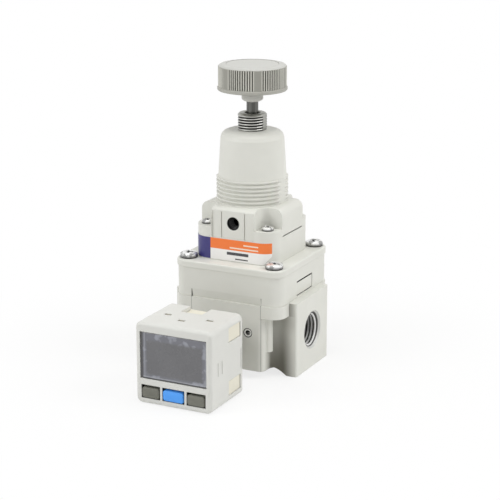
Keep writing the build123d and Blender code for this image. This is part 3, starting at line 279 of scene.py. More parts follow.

# %% [markdown]
# Three gaps are so narrow that they look black from anywhere, so their shade is painted: the window
# behind the exhaust cover, the ends of the pocket in the front, and the thin slot on each side of the
# bonnet.

# %% Painted shade in narrow gaps
def painted_gap_shade(paint):
    pocket_end, pocket_face, slot_low, slot_wall = 14.3 * MM, 20.8 * MM, 51.4 * MM, 16.5 * MM
    low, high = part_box("exhaust_cover")
    # Painted shade: the window behind the exhaust cover turns black above the cover.
    in_window = paint.z.band(low[2], high[2] + COVER_SLOT, 0.05 * MM) * (paint.x > low[0])
    in_window = in_window * (paint.along < high[1] - 0.1 * MM) * (paint.x < SIDE_WALL - COVER_SUNK)
    # Painted shade: a dark line at each end of the front pocket, fainter below the parting.
    end_line = paint.across.band(pocket_end - 0.2 * MM, pocket_end, 0.05 * MM)
    end_line = end_line * (paint.along > pocket_face)
    strength = (paint.z < PARTING) * 0.42 + paint.z.band(PARTING, PARTING + 2.8 * MM) * 0.75
    # Painted shade: the thin slot on each side of the bonnet.
    side_slot = paint.z.band(slot_low, slot_low + 0.5 * MM, 0.04 * MM) * (paint.along < 8.3 * MM)
    side_slot = side_slot * paint.across.band(slot_wall - 1.1 * MM, slot_wall - 0.1 * MM, 0.05 * MM)
    return in_window + end_line * strength + side_slot


print("gaps: exhaust window, pocket ends, bonnet slots")

# %% [markdown]
# Now the layers come together. The paint varies slowly between two close whites, the skin gives the
# relief, and the turning marks of the ports are a fine sine wave along the bore.

# %% Body paint
def body_paint():
    paint = Recipe("body_paint", specular_ior_level=0.42)
    bare, mouth, black = bare_metal(paint)
    skin, cloud = paint.noise(0.42 * MM, 4.0, 0.6), paint.noise(9 * MM, 2.0)
    # Painted shade lies over the paint in the recesses and in the narrow gaps.
    coat = paint.layers((217, 217, 209), ((226, 226, 219), cloud), ((66, 62, 44), recess_shade(paint)),
                        ((26, 25, 22), painted_gap_shade(paint)))
    # The last layer of the cut metal is the painted shade inside the bleed port.
    cut = paint.layers((120, 120, 118), ((158, 158, 156), skin), ((206, 206, 202), mouth),
                       ((14, 14, 14), black))
    turned = paint.x.wave(0.18 * MM)
    paint.surface(paint.mixed(coat, cut, bare), 0.40 + skin * 0.12 - bare * 0.14 + mouth * 0.2,
                  skin * (1 - bare) + turned * bare * 0.15, 0.02, 0.22,
                  Metallic=bare * 0.9 - mouth * 0.75)


body_paint()
print("nodes in the body paint:", len(finishes["body_paint"].node_tree.nodes))

# %% [markdown]
# ## Metals
# Turned aluminium and brass show fine rings round their axis, which come from a sine wave along z.
# Nickel plating instead shows soft clouds in its roughness, which catch the light unevenly. On the dark
# steel the clouds are drawn out into long streaks from near black to mid grey, a painted reflection.

# %% Turned and plated metals
def metal(name, dark, light, rough, ring=0.0, edge=0.08, cloud=2.5, streak=1.0):
    """ring is the pitch of turning marks in millimetres; a small streak draws clouds out along z."""
    finish = Recipe(name, metallic=1.0)
    patch = finish.noise(cloud * MM, 3.0, stretch=(1, 1, streak))
    grain = finish.noise(0.12 * MM, 2.0, 0.7)
    height = grain * 0.4 + finish.z.wave(ring * MM) * 0.5 if ring else grain
    colour = finish.mixed(dark, light, patch)
    finish.surface(colour, rough + patch * 0.14, height, 0.006, edge)


for name, dark, light, rough, more in (
        ("screw_nickel", (186, 186, 184), (222, 222, 220), 0.16, {"edge": 0.1}),
        # Painted reflection: long streaks from near black to mid grey on the dark steel.
        ("dark_steel", (16, 16, 15), (132, 132, 128), 0.2, {"cloud": 1.1, "streak": 0.02}),
        ("spring_steel", (122, 122, 122), (160, 160, 160), 0.26, {}),
        ("brass_turned", (176, 138, 66), (206, 170, 96), 0.22, {"ring": 0.15}),
        ("adapter_nickel", (160, 160, 156), (192, 192, 188), 0.26, {"ring": 0.4}),
        ("light_alloy", (176, 176, 178), (206, 206, 208), 0.28, {"ring": 0.16}),
        ("pin_gold", (206, 164, 84), (232, 196, 120), 0.2, {})):
    metal(name, dark, light, rough, **more)
print("finishes so far:", ", ".join(finishes))

# %% [markdown]
# ## Screw heads
# A bright screw head mirrors dark things that a plain studio doesn't have, so the dome gets broken grey
# streaks as a painted reflection. Its lower side, its foot and its cross get painted shade. The height
# over the seat and the distance from the screw's axis tell those places apart.

# %% Plated screw heads
def screw_head(name, screw):
    finish = Recipe(name, metallic=0.75)
    radius = screw["head_radius"]
    out = apart(finish.across - screw["offset"], finish.along - screw["offset"])
    rise = (finish.z - screw["seat"]) / screw["head_height"]
    patch, streak = finish.noise(1.2 * MM, 2.0), finish.noise(radius * 0.55, 1.0)
    # Painted shade on the lower side, at the foot and in the cross; the grey streaks are a painted
    # reflection.
    foot, side = 1 - rise.step(0.08, 0.28), 1 - rise.step(0.34, 0.58)
    cross_shade = (1 - out.step(radius * 0.57, radius * 0.62)) * (1 - rise.step(0.74, 0.86))
    plating = finish.layers((226, 226, 224), ((246, 246, 245), patch),
                            ((120, 120, 119), streak.step(0.50, 0.60) * 0.75),
                            ((104, 104, 102), side * 0.8), ((24, 24, 24), foot + cross_shade * 0.92))
    finish.surface(plating, 0.3 + patch * 0.08, patch, 0.004, 0.08)


screw_head("body_screw_head", BODY_SCREW)
screw_head("bonnet_screw_head", BONNET_SCREW)
print("screw heads: body and bonnet")

# %% [markdown]
# The small orifice screw beside the switch has a socket instead of a cross: a bright rim, painted shade
# that makes its socket and outer edge black, and a painted highlight low in the socket, all found by
# the distance from its axis.

# %% Orifice screw
def socket_screw():
    finish = Recipe("socket_screw", metallic=0.1)
    low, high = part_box("orifice_screw")
    x, z, radius = (low[0] + high[0]) / 2, (low[2] + high[2]) / 2, (high[0] - low[0]) / 2
    out, grain = finish.from_axis("y", x, z), finish.noise(0.4 * MM, 2.0)
    rim, edge = out.step(radius * 0.50, radius * 0.56), out.step(radius * 0.82, radius * 0.88)
    # Painted shade keeps the socket and the outer edge near black; the shine low in the socket is a
    # painted highlight.
    socket_highlight = (1 - out.step(radius * 0.42, radius * 0.50)) * (finish.z < z - radius * 0.12)
    bright = rim * (1 - edge) + socket_highlight * 0.85
    colour = finish.mixed((22, 22, 22), (244, 244, 240), bright)
    finish.surface(colour, 0.16 + grain * 0.14, grain, 0.004, 0.06)


socket_screw()
print("orifice screw finished")

# %% [markdown]
# ## Threads in metal
# A thread is bright on its crests and gets painted shade in its roots, more of it deep in a port; the
# short thread of the bleed port is painted dark all over as shade. On the bush the zinc is dull, with a
# painted highlight on its crests and painted shade in its grooves.

# %% Cut thread and zinc
def cut_thread():
    finish = Recipe("cut_thread")
    crest_end, root_start, port_side = 6.02 * MM, 6.34 * MM, 12 * MM
    grain = finish.noise(0.3 * MM, 2.0)
    # Painted shade in the thread roots, and more of it deeper in a port.
    root_shade = finish.from_axis("x", 0, PORT_HEIGHT).step(crest_end, root_start)
    depth = 1 - finish.across.step(17.0 * MM, 22.5 * MM)
    colour = finish.layers((222, 222, 220), ((240, 240, 238), grain), ((18, 18, 18), root_shade * 0.95),
                           ((34, 34, 34), depth * 0.75))
    # Painted shade: the bleed thread, nearer the middle than port_side, is dark all over.
    colour = finish.mixed((26, 26, 26), colour, finish.across > port_side)
    finish.surface(colour, 0.28 + grain * 0.1, grain, 0.004, 0.05, Metallic=0.35 + grain * 0.1)


def bush_plating():
    finish = Recipe("bush_plating", metallic=1.0)
    thread_end, shell_radius = 93.6 * MM, 4.6 * MM
    patch, grain = finish.noise(1.8 * MM, 3.0), finish.noise(0.12 * MM, 2.0)
    out = finish.from_axis("z")
    root_shade = 1 - out.step(5.20 * MM, 5.36 * MM)
    on_thread = finish.z.step(CROWN_TOP - 0.1 * MM, CROWN_TOP + 0.1 * MM)
    on_thread = on_thread * (1 - finish.z.step(thread_end, thread_end + 0.3 * MM))
    on_thread = on_thread * (finish.x < BUSH_FLAT - 0.03 * MM)
    # Painted highlight on the thread crests and painted shade in its grooves.
    plate = finish.layers((150, 150, 146), ((182, 182, 176), patch),
                          ((196, 196, 192), (1 - root_shade) * on_thread),
                          ((24, 24, 23), root_shade * on_thread * (out > shell_radius)))
    finish.surface(plate, 0.32 + patch * 0.16, grain, 0.005, 0.04)


cut_thread()
bush_plating()
print("thread finishes: ports and bush")

# %% [markdown]
# ## Knob
# The knob is matt grey nylon. Its groove bottoms get painted shade and the crests of its ribs a painted
# highlight, and its top is painted lighter where light falls from above. Six smooth pads stand between
# the ribs, and the cosine of six times the angle finds all of them at once.

# %% Grey nylon
def knob_grey():
    finish = Recipe("knob_grey", specular_ior_level=0.4)
    low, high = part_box("knob")
    pads, first_pad = 6, radians(5.3)
    grip_radius, disc_radius, hub_radius = 11.6 * MM, 9.65 * MM, 4.1 * MM
    texture, cloud = finish.noise(0.16 * MM, 3.0, 0.6), finish.noise(6 * MM, 2.0)
    out = finish.from_axis("z")
    turn = (finish.y.calc("ARCTAN2", finish.y, finish.x) - first_pad) * pads
    pad = turn.calc("COSINE", turn) > 0.79
    side = finish.z.band(low[2] + 5.7 * MM, high[2] - 1.0 * MM) * (out > grip_radius)
    # Painted shade in the groove bottoms, painted highlight on the rib crests.
    grip = finish.layers((46, 45, 39), ((204, 203, 194), out.step(12.26 * MM, 12.46 * MM)),
                         ((152, 151, 143), pad))
    # Painted light: the top and the cap disc are lighter, as light falls on them from above.
    disc = (out < disc_radius) * (finish.z > high[2] - 2 * MM)
    top = finish.z.step(high[2] - 0.85 * MM, high[2] - 0.7 * MM) + disc
    ring = out.band(9.5 * MM, 9.7 * MM, 0.05 * MM) * (finish.z > high[2] - 0.4 * MM)
    hub = (out < hub_radius) * (finish.z < low[2] + 4.1 * MM)
    shell = finish.layers((166, 165, 157), ((177, 176, 168), cloud), (grip, side),
                          ((198, 198, 193), top), ((206, 205, 199), hub), ((150, 149, 143), ring * 0.6))
    finish.surface(shell, 0.5 + texture * 0.12, texture, 0.02, 0.05)


knob_grey()
print("knob finish: grooves, pads, cap and hub")

# %% [markdown]
# ## Plastics and rubber
# The cream rear shell, the display panel, the keys and the rubber rings are all mouldings, so one
# recipe with their colour, gloss and texture as numbers serves them all. The keys get softer edges.

# %% Moulded plastics and rubber
def plastic(name, dark, light, rough, grain, depth=0.012, edge=0.2):
    """grain and depth are the size and height of the mould texture in millimetres."""
    finish = Recipe(name)
    texture, cloud = finish.noise(grain * MM, 3.0, 0.6), finish.noise(6 * MM, 2.0)
    colour = finish.mixed(dark, light, cloud)
    finish.surface(colour, rough + texture * 0.12, texture, depth, edge)


for name, dark, light, rough, grain, more in (
        ("black_rubber", (26, 26, 27), (38, 38, 39), 0.62, 0.12, {}),
        ("switch_cream", (226, 222, 205), (234, 230, 214), 0.45, 0.22, {"depth": 0.01}),
        ("panel_black", (24, 24, 26), (34, 34, 36), 0.48, 0.2, {}),
        ("button_grey", (108, 108, 99), (120, 120, 110), 0.55, 0.14, {"edge": 0.3}),
        ("button_blue", (70, 154, 250), (88, 170, 253), 0.5, 0.14, {"edge": 0.3})):
    plastic(name, dark, light, rough, grain, **more)
print("finishes so far:", len(finishes))

# %% [markdown]
# The switch case is satin white. Hardly any light gets into the wells round the keys, so they are
# painted black as shade, and the three small slots in its top are painted darker as shade.

# %% White switch case
def switch_white():
    finish = Recipe("switch_white")
    low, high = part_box("switch_case")
    key_low, key_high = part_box("button_left")
    texture, cloud = finish.noise(0.22 * MM, 3.0, 0.6), finish.noise(6 * MM, 2.0)
    # Painted shade: the wells round the keys are black.
    well_shade = finish.y.step(low[1] + 0.15 * MM, low[1] + 0.45 * MM) * (finish.y < low[1] + 6 * MM)
    well_shade = well_shade * finish.z.band(key_low[2] - 0.1 * MM, key_high[2] + 0.1 * MM)
    well_shade = well_shade * (finish.across < 13 * MM)
    # Painted shade: the three small slots in the top are darker.
    slot_shade = finish.z.band(high[2] - 1.4 * MM, high[2] - 0.3 * MM, 0.1 * MM)
    slot_shade = slot_shade * finish.y.band(low[1] + 5 * MM, high[1] - 9 * MM) * (finish.across < 10.5 * MM)
    case = finish.layers((215, 215, 210), ((222, 222, 217), cloud), ((168, 163, 148), slot_shade),
                         ((16, 16, 16), well_shade))
    finish.surface(case, 0.42 + texture * 0.12, texture, 0.01, 0.3)


switch_white()
print("case finish made")

# %% [markdown]
# The window is a smoky clear sheet over a dark display. It is painted as a dark base under a clear
# coat, with a paler spotted margin, and with thin lines where its edges catch the light.

# %% Smoky window
def smoky_window():
    finish = Recipe("smoky_window", coat_weight=0.7, coat_roughness=0.05, specular_ior_level=0.5)
    low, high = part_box("switch_window")
    left, right = finish.x - low[0], high[0] - finish.x
    foot, top = finish.z - low[2], high[2] - finish.z
    haze, blot = finish.noise(9 * MM, 2.0, 0.5), finish.noise(3.2 * MM, 2.0, 0.5)
    spots = blot.step(0.50, 0.66)
    display = left.step(2.1 * MM, 2.9 * MM) * right.step(1.0 * MM, 2.0 * MM)
    display = display * top.step(2.2 * MM, 3.4 * MM) * foot.step(1.2 * MM, 2.2 * MM)
    middle = finish.mixed((92, 92, 95), (104, 104, 107), haze)
    dark_left = 1 - left.step(0.95 * MM, 1.2 * MM)
    left_line = left.step(1.5 * MM, 1.6 * MM) * (1 - left.step(1.85 * MM, 2.0 * MM))
    right_line = 1 - right.step(0.35 * MM, 0.6 * MM)
    foot_line = foot.band(0.6 * MM, 0.95 * MM) * (1 - dark_left)
    dark_foot, dark_top = 1 - foot.step(0.35 * MM, 0.55 * MM), 1 - top.step(0.15 * MM, 0.3 * MM)
    pane = finish.layers((108, 109, 117), ((172, 175, 186), spots * 0.5), (middle, display),
                         ((60, 60, 62), dark_left),
                         ((160, 163, 170), (left_line + right_line + foot_line) * 0.6),
                         ((22, 22, 24), dark_foot), ((40, 40, 42), dark_top * 0.8))
    finish.surface(pane, 0.18 + haze * 0.1 + spots * 0.15, haze, 0.004, 0.2)


smoky_window()
print("window finish made")

# %% [markdown]
# ## The printed film
# The film round the front of the bonnet has a violet field at its left end, an orange band beside it
# and white below, with a few plain strokes. Masks draw them, so they stay sharp and need no picture.

# %% Film with colour fields
def strokes(film, thickness, rows):
    """Plain strokes at the given height, start and end, all in millimetres."""
    ink = film.y < -16 * MM
    drawn = [film.z.band((height - thickness / 2) * MM, (height + thickness / 2) * MM, 0.001 * MM)
             * film.x.band(start * MM, end * MM, 0.001 * MM) for height, start, end in rows]
    return sum(drawn[1:], drawn[0]) * ink


def label_film():
    film = Recipe("label_film", coat_weight=0.08, coat_roughness=0.2)
    violet_end, orange_low = -9.0 * MM, 46.25 * MM
    grain = film.noise(0.5 * MM, 3.0)
    violet = 1 - film.x.step(violet_end, violet_end + 0.12 * MM)
    orange = film.z.step(orange_low - 0.1 * MM, orange_low)
    dark = strokes(film, 1.1, [(44.9, -2.2, 6.6)]) + strokes(film, 0.45, [(43.0, 1.2, 6.4)])
    pale = strokes(film, 0.5, [(48.5, 4.6, 10.6), (47.1, -1.0, 10.6)])
    colour = film.layers((242, 241, 238), ((248, 247, 245), grain), ((70, 70, 74), dark),
                         ((248, 126, 52), orange), ((250, 226, 206), pale), ((56, 52, 118), violet))
    film.surface(colour, 0.34 + grain * 0.1, grain, 0.003)


label_film()
print("film: a violet field, an orange band and 4 strokes")

# %% [markdown]
# The circuit board hides inside the switch, but it still gets a green solder mask with faint copper
# tracks, because a part that opens in another scene should not show a bare block.

# %% Circuit board
def board_green():
    board = Recipe("board_green", coat_weight=0.3, coat_roughness=0.2)
    lines = (board.x.wave(1.3 * MM) > 0.72) * (board.noise(4 * MM, 1.0) > 0.5)
    colour = board.mixed((22, 92, 52), (44, 128, 76), lines)
    board.surface(colour, 0.35 + lines * 0.1, lines, 0.02)


board_green()
print("finishes in all:", len(finishes))

# %% [markdown]
# ## Giving the finishes to the parts
# Every solid part names a material slot, and the loop below puts the finish of that name on it. The
# orifice screw shares its slot with other nickel parts, so it gets its own finish by hand.

# %% Finishes on the solid parts
for part in nodes.values():
    for place in part.material_slots:
        place.material = finishes[place.material.name.split(".")[0]]
nodes["orifice_screw"].material_slots[0].material = finishes["socket_screw"]
print("parts dressed:", len(nodes))

# %% [markdown]
# ## Meshes from rings of points
# Turned and pressed pieces are stacks of rings: each ring has the same number of points, and quads join
# neighbours. A stack gets a cap at each end or closes on itself, as a tyre does. Edges sharper than 35
# degrees stay crisp, and bmesh turns every face outwards, whichever way round the rings run.

# %% Ring mesh helpers
def around_circle(count):
    """Equal turns once round, in radians."""
    return [2 * pi * index / count for index in range(count)]


def ring_faces(rings, start=0, closed=False):
    """Quads between neighbouring rings, whose points are numbered from start, and the two caps."""
    count, layers = len(rings[0]), len(rings)
    faces = []
    for layer in range(layers if closed else layers - 1):
        low, high = start + layer * count, start + (layer + 1) % layers * count
        for index in range(count):
            after = (index + 1) % count
            faces.append((low + index, low + after, high + after, high + index))
    if not closed:
        last = start + (layers - 1) * count
        faces += [tuple(reversed(range(start, start + count))), tuple(range(last, last + count))]
    return faces


def add_object(name, data):
    thing = bpy.data.objects.new(name, data)
    bpy.context.scene.collection.objects.link(thing)
    return thing


def finished_mesh(name, points, faces, finish, sharp=35):
    mesh = bpy.data.meshes.new(name)
    mesh.from_pydata([tuple(point) for point in points], [], faces)
    shell = bmesh.new()
    shell.from_mesh(mesh)
    bmesh.ops.recalc_face_normals(shell, faces=shell.faces)
    shell.to_mesh(mesh)
    shell.free()
    mesh.polygons.foreach_set("use_smooth", [True] * len(mesh.polygons))
    mesh.set_sharp_from_angle(angle=radians(sharp))
    mesh.materials.append(finishes[finish])
    piece = add_object(name, mesh)
    return piece


def ring_mesh(name, rings, finish, closed=False):
    points = [point for ring in rings for point in ring]
    return finished_mesh(name, points, ring_faces(rings, closed=closed), finish)


print("a tyre of 4 rings with 8 points has", len(ring_faces([[0] * 8] * 4, closed=True)), "faces")

# %% [markdown]
# ## Pan-head screws with a cross recess
# Eight bright screws hold the castings together. The trick of their heads is that the outline of the
# cross and the round rim have the same number of points. So the dome is simply the surface between
# them, and the recess is a smaller cross further down.

# %% Outlines and dome of a screw head
def cross_outline(reach, half_width):
    """A plus shape with 24 points, going round from the +x arm."""
    halfway = (reach + half_width) / 2
    arm = [(reach, -half_width), (reach, 0.0), (reach, half_width), (halfway, half_width),
           (half_width, half_width), (half_width, halfway)]
    return [(x * cos(turn) - y * sin(turn), x * sin(turn) + y * cos(turn))
            for turn in (0, pi / 2, pi, 3 * pi / 2) for x, y in arm]


def circle_like(outline, radius):
    """A circle whose points lie in the same directions as those of the outline."""
    return [(radius * cos(atan2(y, x)), radius * sin(atan2(y, x))) for x, y in outline]


def dome_height(x, y, screw):
    share = min(1.0, hypot(x, y) / screw["head_radius"])
    return screw["head_height"] * (0.62 + 0.38 * sqrt(max(0.0, 1 - share ** 2.4)))


print("points round a screw head:", len(cross_outline(2, 1)))

# %% [markdown]
# One screw is a single stack of rings, from the bottom of its cross over the dome and down a shank
# whose rings go in and out like a thread. Nobody tightens four screws to the same angle, so each is
# turned a little further than the last.

# %% Four screws as one piece
def screw_rings(centre, screw, length, turn):
    radius, height, shank = screw["head_radius"], screw["head_height"], screw["shank_radius"]
    cross = cross_outline(radius * 0.56, radius * 0.17)

    def placed(x, y, rise):
        return Vector((centre[0] + x * cos(turn) - y * sin(turn),
                       centre[1] + x * sin(turn) + y * cos(turn), screw["seat"] + rise))

    def level(outline, rise, scale=1.0):
        return [placed(x * scale, y * scale, rise) for x, y in outline]

    rings = [level(cross, height * 0.18, 0.45), level(cross, height * 0.72, 0.86)]
    for share in (0.0, 0.3, 0.6, 0.85, 1.0):
        between = [(x + (far_x - x) * share, y + (far_y - y) * share)
                   for (x, y), (far_x, far_y) in zip(cross, circle_like(cross, radius * 0.97))]
        rings.append([placed(x, y, dome_height(x, y, screw)) for x, y in between])
    for scale, rise in ((1.0, 0.42), (1.0, 0.10), (0.96, 0.0)):
        rings.append(level(circle_like(cross, radius * scale), height * rise))
    rings.append(level(circle_like(cross, shank), -0.1 * MM))
    pitch = shank * 0.42
    for index in range(int(length / pitch * 2) - 2):
        scale = 0.97 if index % 2 else 0.84
        rings.append(level(circle_like(cross, shank * scale), -0.4 * MM - index * pitch / 2))
    return rings


def screw_set(name, node, screw, finish):
    """Four screws on the corners of a square."""
    length, points, faces = screw["seat"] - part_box(node)[0][2], [], []
    for number, (side_x, side_y) in enumerate(((-1, -1), (1, -1), (-1, 1), (1, 1))):
        centre = (side_x * screw["offset"], side_y * screw["offset"])
        rings = screw_rings(centre, screw, length, radians(screw["first_turn"] + 27 * number))
        faces += ring_faces(rings, len(points))
        points += [point for ring in rings for point in ring]
    piece = finished_mesh(name, points, faces, finish, sharp=30)
    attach(piece, "housing")
    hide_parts(node)
    return piece


large = screw_set("body_screw_set", "body_screws", BODY_SCREW, "body_screw_head")
small = screw_set("bonnet_screw_set", "bonnet_screws", BONNET_SCREW, "bonnet_screw_head")
print("screw vertices:", len(large.data.vertices), len(small.data.vertices))

# %% [markdown]
# ## Real threads in the ports
# The solid model keeps the ports as plain bores at the outer diameter of the thread. Here each bore
# gets its thread: one ridge of bare metal that follows a helix and tapers away at both ends.

# %% Thread ridges
def thread_ridge(name, mouth, axis, radius, depth, pitch, turns, per_turn=40):
    """A V ridge inside a bore. mouth is the centre of its opening, and axis points out of it."""
    out = Vector(axis)
    side = out.orthogonal().normalized()
    up = out.cross(side)
    rings = []
    for index in range(turns * per_turn + 1):
        along = index / per_turn
        fade = min(1.0, along * 2.5, (turns - along) * 2.5)
        radial = side * cos(2 * pi * along) + up * sin(2 * pi * along)
        foot = Vector(mouth) - out * (along * pitch)
        half, inner = pitch * 0.46 * max(fade, 0.05), radius - depth * max(fade, 0.02)
        rings.append([foot + radial * radius + out * half, foot + radial * inner + out * half * 0.3,
                      foot + radial * inner - out * half * 0.3, foot + radial * radius - out * half])
    ridge = ring_mesh(name, rings, "cut_thread")
    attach(ridge, "housing")


for name, side in (("inlet_thread", -1), ("outlet_thread", 1)):
    thread_ridge(name, (side * 24.4 * MM, 0, PORT_HEIGHT), (side, 0, 0),
                 radius=6.57 * MM, depth=0.86 * MM, pitch=1.337 * MM, turns=7)
thread_ridge("bleed_thread", (0, -15.2 * MM, BLEED_HEIGHT), (0, -1, 0),
             radius=2.09 * MM, depth=0.42 * MM, pitch=0.8 * MM, turns=5)
print("port thread turns: 7, bleed thread turns: 5")

# %% [markdown]
# ## Threaded bush
# The bush in the crown has a fine thread and one flat. A bump could fake the grooves, but not their
# outline, so this thread is real: a helical wave pushes every ring of points in and out, and points
# beyond the flat are pulled back onto it.

# %% Bush with a cut thread
def bush_ring(radius, height, groove=0.0, cut=False, pitch=1.0 * MM, around=96):
    points = []
    for turn in around_circle(around):
        phase = (height / pitch - turn / (2 * pi)) % 1.0
        reach = radius - groove * (1 - min(1.0, abs(phase - 0.5) * 2.6))
        x, y = reach * cos(turn), reach * sin(turn)
        points.append((min(x, BUSH_FLAT) if cut else x, y, height))
    return points


def bush_mesh(name):
    low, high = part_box("threaded_bush")
    outer, bore, chamfer, shank, groove = 5.38 * MM, 3.0 * MM, 0.7 * MM, 4.98 * MM, 0.34 * MM
    bottom, top, steps = low[2], high[2], 70
    rings = [bush_ring(bore, bottom), bush_ring(shank, bottom), bush_ring(shank, CROWN_TOP - 0.02 * MM)]
    for step in range(steps + 1):
        height = CROWN_TOP + (top - chamfer - CROWN_TOP) * step / steps
        rings.append(bush_ring(outer, height, groove * min(1.0, (steps - step) / 6), cut=True))
    rings += [bush_ring(outer - chamfer * 0.6, top - chamfer * 0.25, cut=True),
              bush_ring(outer - chamfer, top), bush_ring(bore + 0.35 * MM, top),
              bush_ring(bore, top - 0.35 * MM)]
    return ring_mesh(name, rings, "bush_plating", closed=True)


bush = bush_mesh("bush_with_thread")
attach(bush, "housing")
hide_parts("threaded_bush")
print("bush vertices:", len(bush.data.vertices))

# %% [markdown]
# ## Window and keys of the switch
# The window and the three keys are small moulded plates. Each is a stack of rounded rectangles that
# shrink a little towards the front to round the edge, and the middle of a key is gently crowned.

# %% Soft plates
def rounded_outline(half_width, half_height, corner, per_corner=6):
    points = []
    for side_x, side_z, start in ((1, 1, 0), (-1, 1, 90), (-1, -1, 180), (1, -1, 270)):
        for index in range(per_corner + 1):
            angle = radians(start + 90 * index / per_corner)
            points.append((side_x * (half_width - corner) + corner * cos(angle),
                           side_z * (half_height - corner) + corner * sin(angle)))
    return points


def soft_plate(name, node, body, corner, edge, finish, crown=0.0, flange=0.0, sag=0.0):
    """A plate as large as a solid part's box without its flange, facing -y, its front edge rounded."""
    low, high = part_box(node)
    x, z = (low[0] + high[0]) / 2 - sag, (low[2] + high[2]) / 2 - sag
    half_width, half_height = (high[0] - low[0]) / 2 - flange, (high[2] - low[2]) / 2 - flange

    def layer(inset, front, share=1.0):
        sharpest = max(corner - inset, 0.05 * MM)
        outline = rounded_outline(half_width - inset, half_height - inset, sharpest)
        return [(x + px * share, front, z + pz * share) for px, pz in outline]

    rings = [layer(0.0, high[1])]
    for angle in (radians(90 * step / 4) for step in range(5)):
        rings.append(layer(edge * (1 - cos(angle)), low[1] + crown + edge * (1 - sin(angle))))
    for share in (0.85, 0.6, 0.3):
        rings.append(layer(edge, low[1] + crown * share * share, share))
    piece = ring_mesh(name, rings, finish)
    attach(piece, body)
    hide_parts(node)


soft_plate("window_plate", "switch_window", "housing", 1.0 * MM, 0.35 * MM, "smoky_window")
for side, colour in (("left", "button_grey"), ("middle", "button_blue"), ("right", "button_grey")):
    soft_plate("key_" + side, "button_" + side, "button_" + side, 0.95 * MM, 0.6 * MM, colour,
               crown=0.16 * MM, flange=0.5 * MM, sag=0.12 * MM)
print("window and 3 keys made")

# %% [markdown]
# ## Exhaust cover
# A flat cover closes the exhaust window on the outlet side. It lies almost flush with the wall, so the
# window only shows as a slot above it, painted black as shade, and a hair line round the rest.

# %% Exhaust cover
def exhaust_flap(name):
    low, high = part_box("exhaust_cover")
    side_gap, foot_gap, soft, face = 0.10 * MM, 0.22 * MM, 0.12 * MM, SIDE_WALL - COVER_SUNK
    top = high[2] + COVER_SLOT * 0.55
    half_width, half_height = (high[1] - low[1]) / 2 - side_gap, (top - low[2] - foot_gap) / 2
    rings = []
    for x, inset in ((low[0], 0.0), (face - soft, 0.0), (face - soft / 4, soft / 4), (face, soft)):
        outline = rounded_outline(half_width - inset, half_height - inset, 0.3 * MM)
        rings.append([(x, y, top - half_height + z) for y, z in outline])
    return ring_mesh(name, rings, "body_paint")


flap = exhaust_flap("exhaust_flap")
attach(flap, "housing")
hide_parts("exhaust_cover")
print("cover vertices:", len(flap.data.vertices))

# %% [markdown]
# ## Collar under the knob
# The hub under the knob ends in a short collar with a rounded foot, which goes over the cone of the
# solid. Anything turned needs only its profile of radius and height, and this helper spins it round z.

# %% Hub collar
def turned_ring(name, profile, finish, around=64):
    """A ring turned about z from a closed profile of radius and height in millimetres."""
    rings = [[(radius * MM * cos(turn), radius * MM * sin(turn), height * MM)
              for turn in around_circle(around)] for radius, height in profile]
    return ring_mesh(name, rings, finish, closed=True)


knob_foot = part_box("knob")[0][2] / MM
collar_profile = [(2.30, 2.4), (3.96, 2.4), (3.96, 1.05), (3.90, 0.80), (3.72, 0.55), (3.42, 0.32),
                  (3.05, 0.14), (2.72, 0.04), (2.30, 0.04)]
collar = turned_ring("hub_collar", [(radius, knob_foot + rise) for radius, rise in collar_profile],
                     "knob_grey")
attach(collar, "knob")
print("collar foot at", round(knob_foot + 0.04, 2), "mm")

# %% [markdown]
# ## Seal round the orifice screw
# A thin rubber ring sits round the small socket screw beside the switch, and its dark circle makes the
# screw stand out from the paint.

# %% Orifice seal
def wire_ring(name, centre, radius, wire, finish, segments=40, around=10):
    """A round ring that faces -y."""
    rings = []
    for turn in around_circle(segments):
        ring = []
        for lift in around_circle(around):
            reach = radius + wire * cos(lift)
            ring.append((centre[0] + reach * cos(turn), centre[1] + wire * sin(lift),
                         centre[2] + reach * sin(turn)))
        rings.append(ring)
    return ring_mesh(name, rings, finish, closed=True)


seal = wire_ring("orifice_seal", (9.0 * MM, -21.86 * MM, 17.4 * MM), 1.66 * MM, 0.14 * MM,
                 "black_rubber")
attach(seal, "housing")
print("seal vertices:", len(seal.data.vertices))

# %% [markdown]
# ## Round-wire springs
# The setting spring pushes the diaphragm down, and the valve spring pushes the poppet up. Both are
# round wire with flat end turns.

# %% Wound springs
def wound_spring(name, node, mean_radius, wire, turns, around=10, per_turn=32):
    """Round wire that fills the height of a solid spring."""
    low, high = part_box(node)
    steps, flat_rise = int(turns * per_turn), wire * 1.05 / per_turn
    ends = [min(step, steps - step) / per_turn for step in range(steps)]
    opened = [min(1.0, max(0.0, (from_end - 0.8) / 0.4)) for from_end in ends]
    height, spare = low[2] + wire * 0.3, high[2] - low[2] - wire * 0.6 - flat_rise * steps
    rings = []
    for step in range(steps + 1):
        turn, ring = 2 * pi * step / per_turn, []
        for lift in around_circle(around):
            reach, z = mean_radius + wire / 2 * cos(lift), height + wire / 2 * sin(lift)
            ring.append((reach * cos(turn), reach * sin(turn), min(max(z, low[2]), high[2])))
        rings.append(ring)
        if step < steps:
            height += flat_rise + spare * opened[step] / sum(opened)
    spring = ring_mesh(name, rings, "spring_steel")
    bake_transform(spring)
    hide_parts(node)
    return spring


setting = wound_spring("setting_spring_wire", "setting_spring", 7.2 * MM, 1.6 * MM, 7.5)
closing = wound_spring("valve_spring_wire", "valve_spring", 5.0 * MM, 0.78 * MM, 4.5)
print("spring vertices:", len(setting.data.vertices), len(closing.data.vertices))

# %% [markdown]
# ## Rubber diaphragms
# Each diaphragm is a dish of black rubber. Its rim is clamped between two castings, its hub travels
# with two plates, and the web between is shaped as a soft S. Rim and hub lie at different heights.

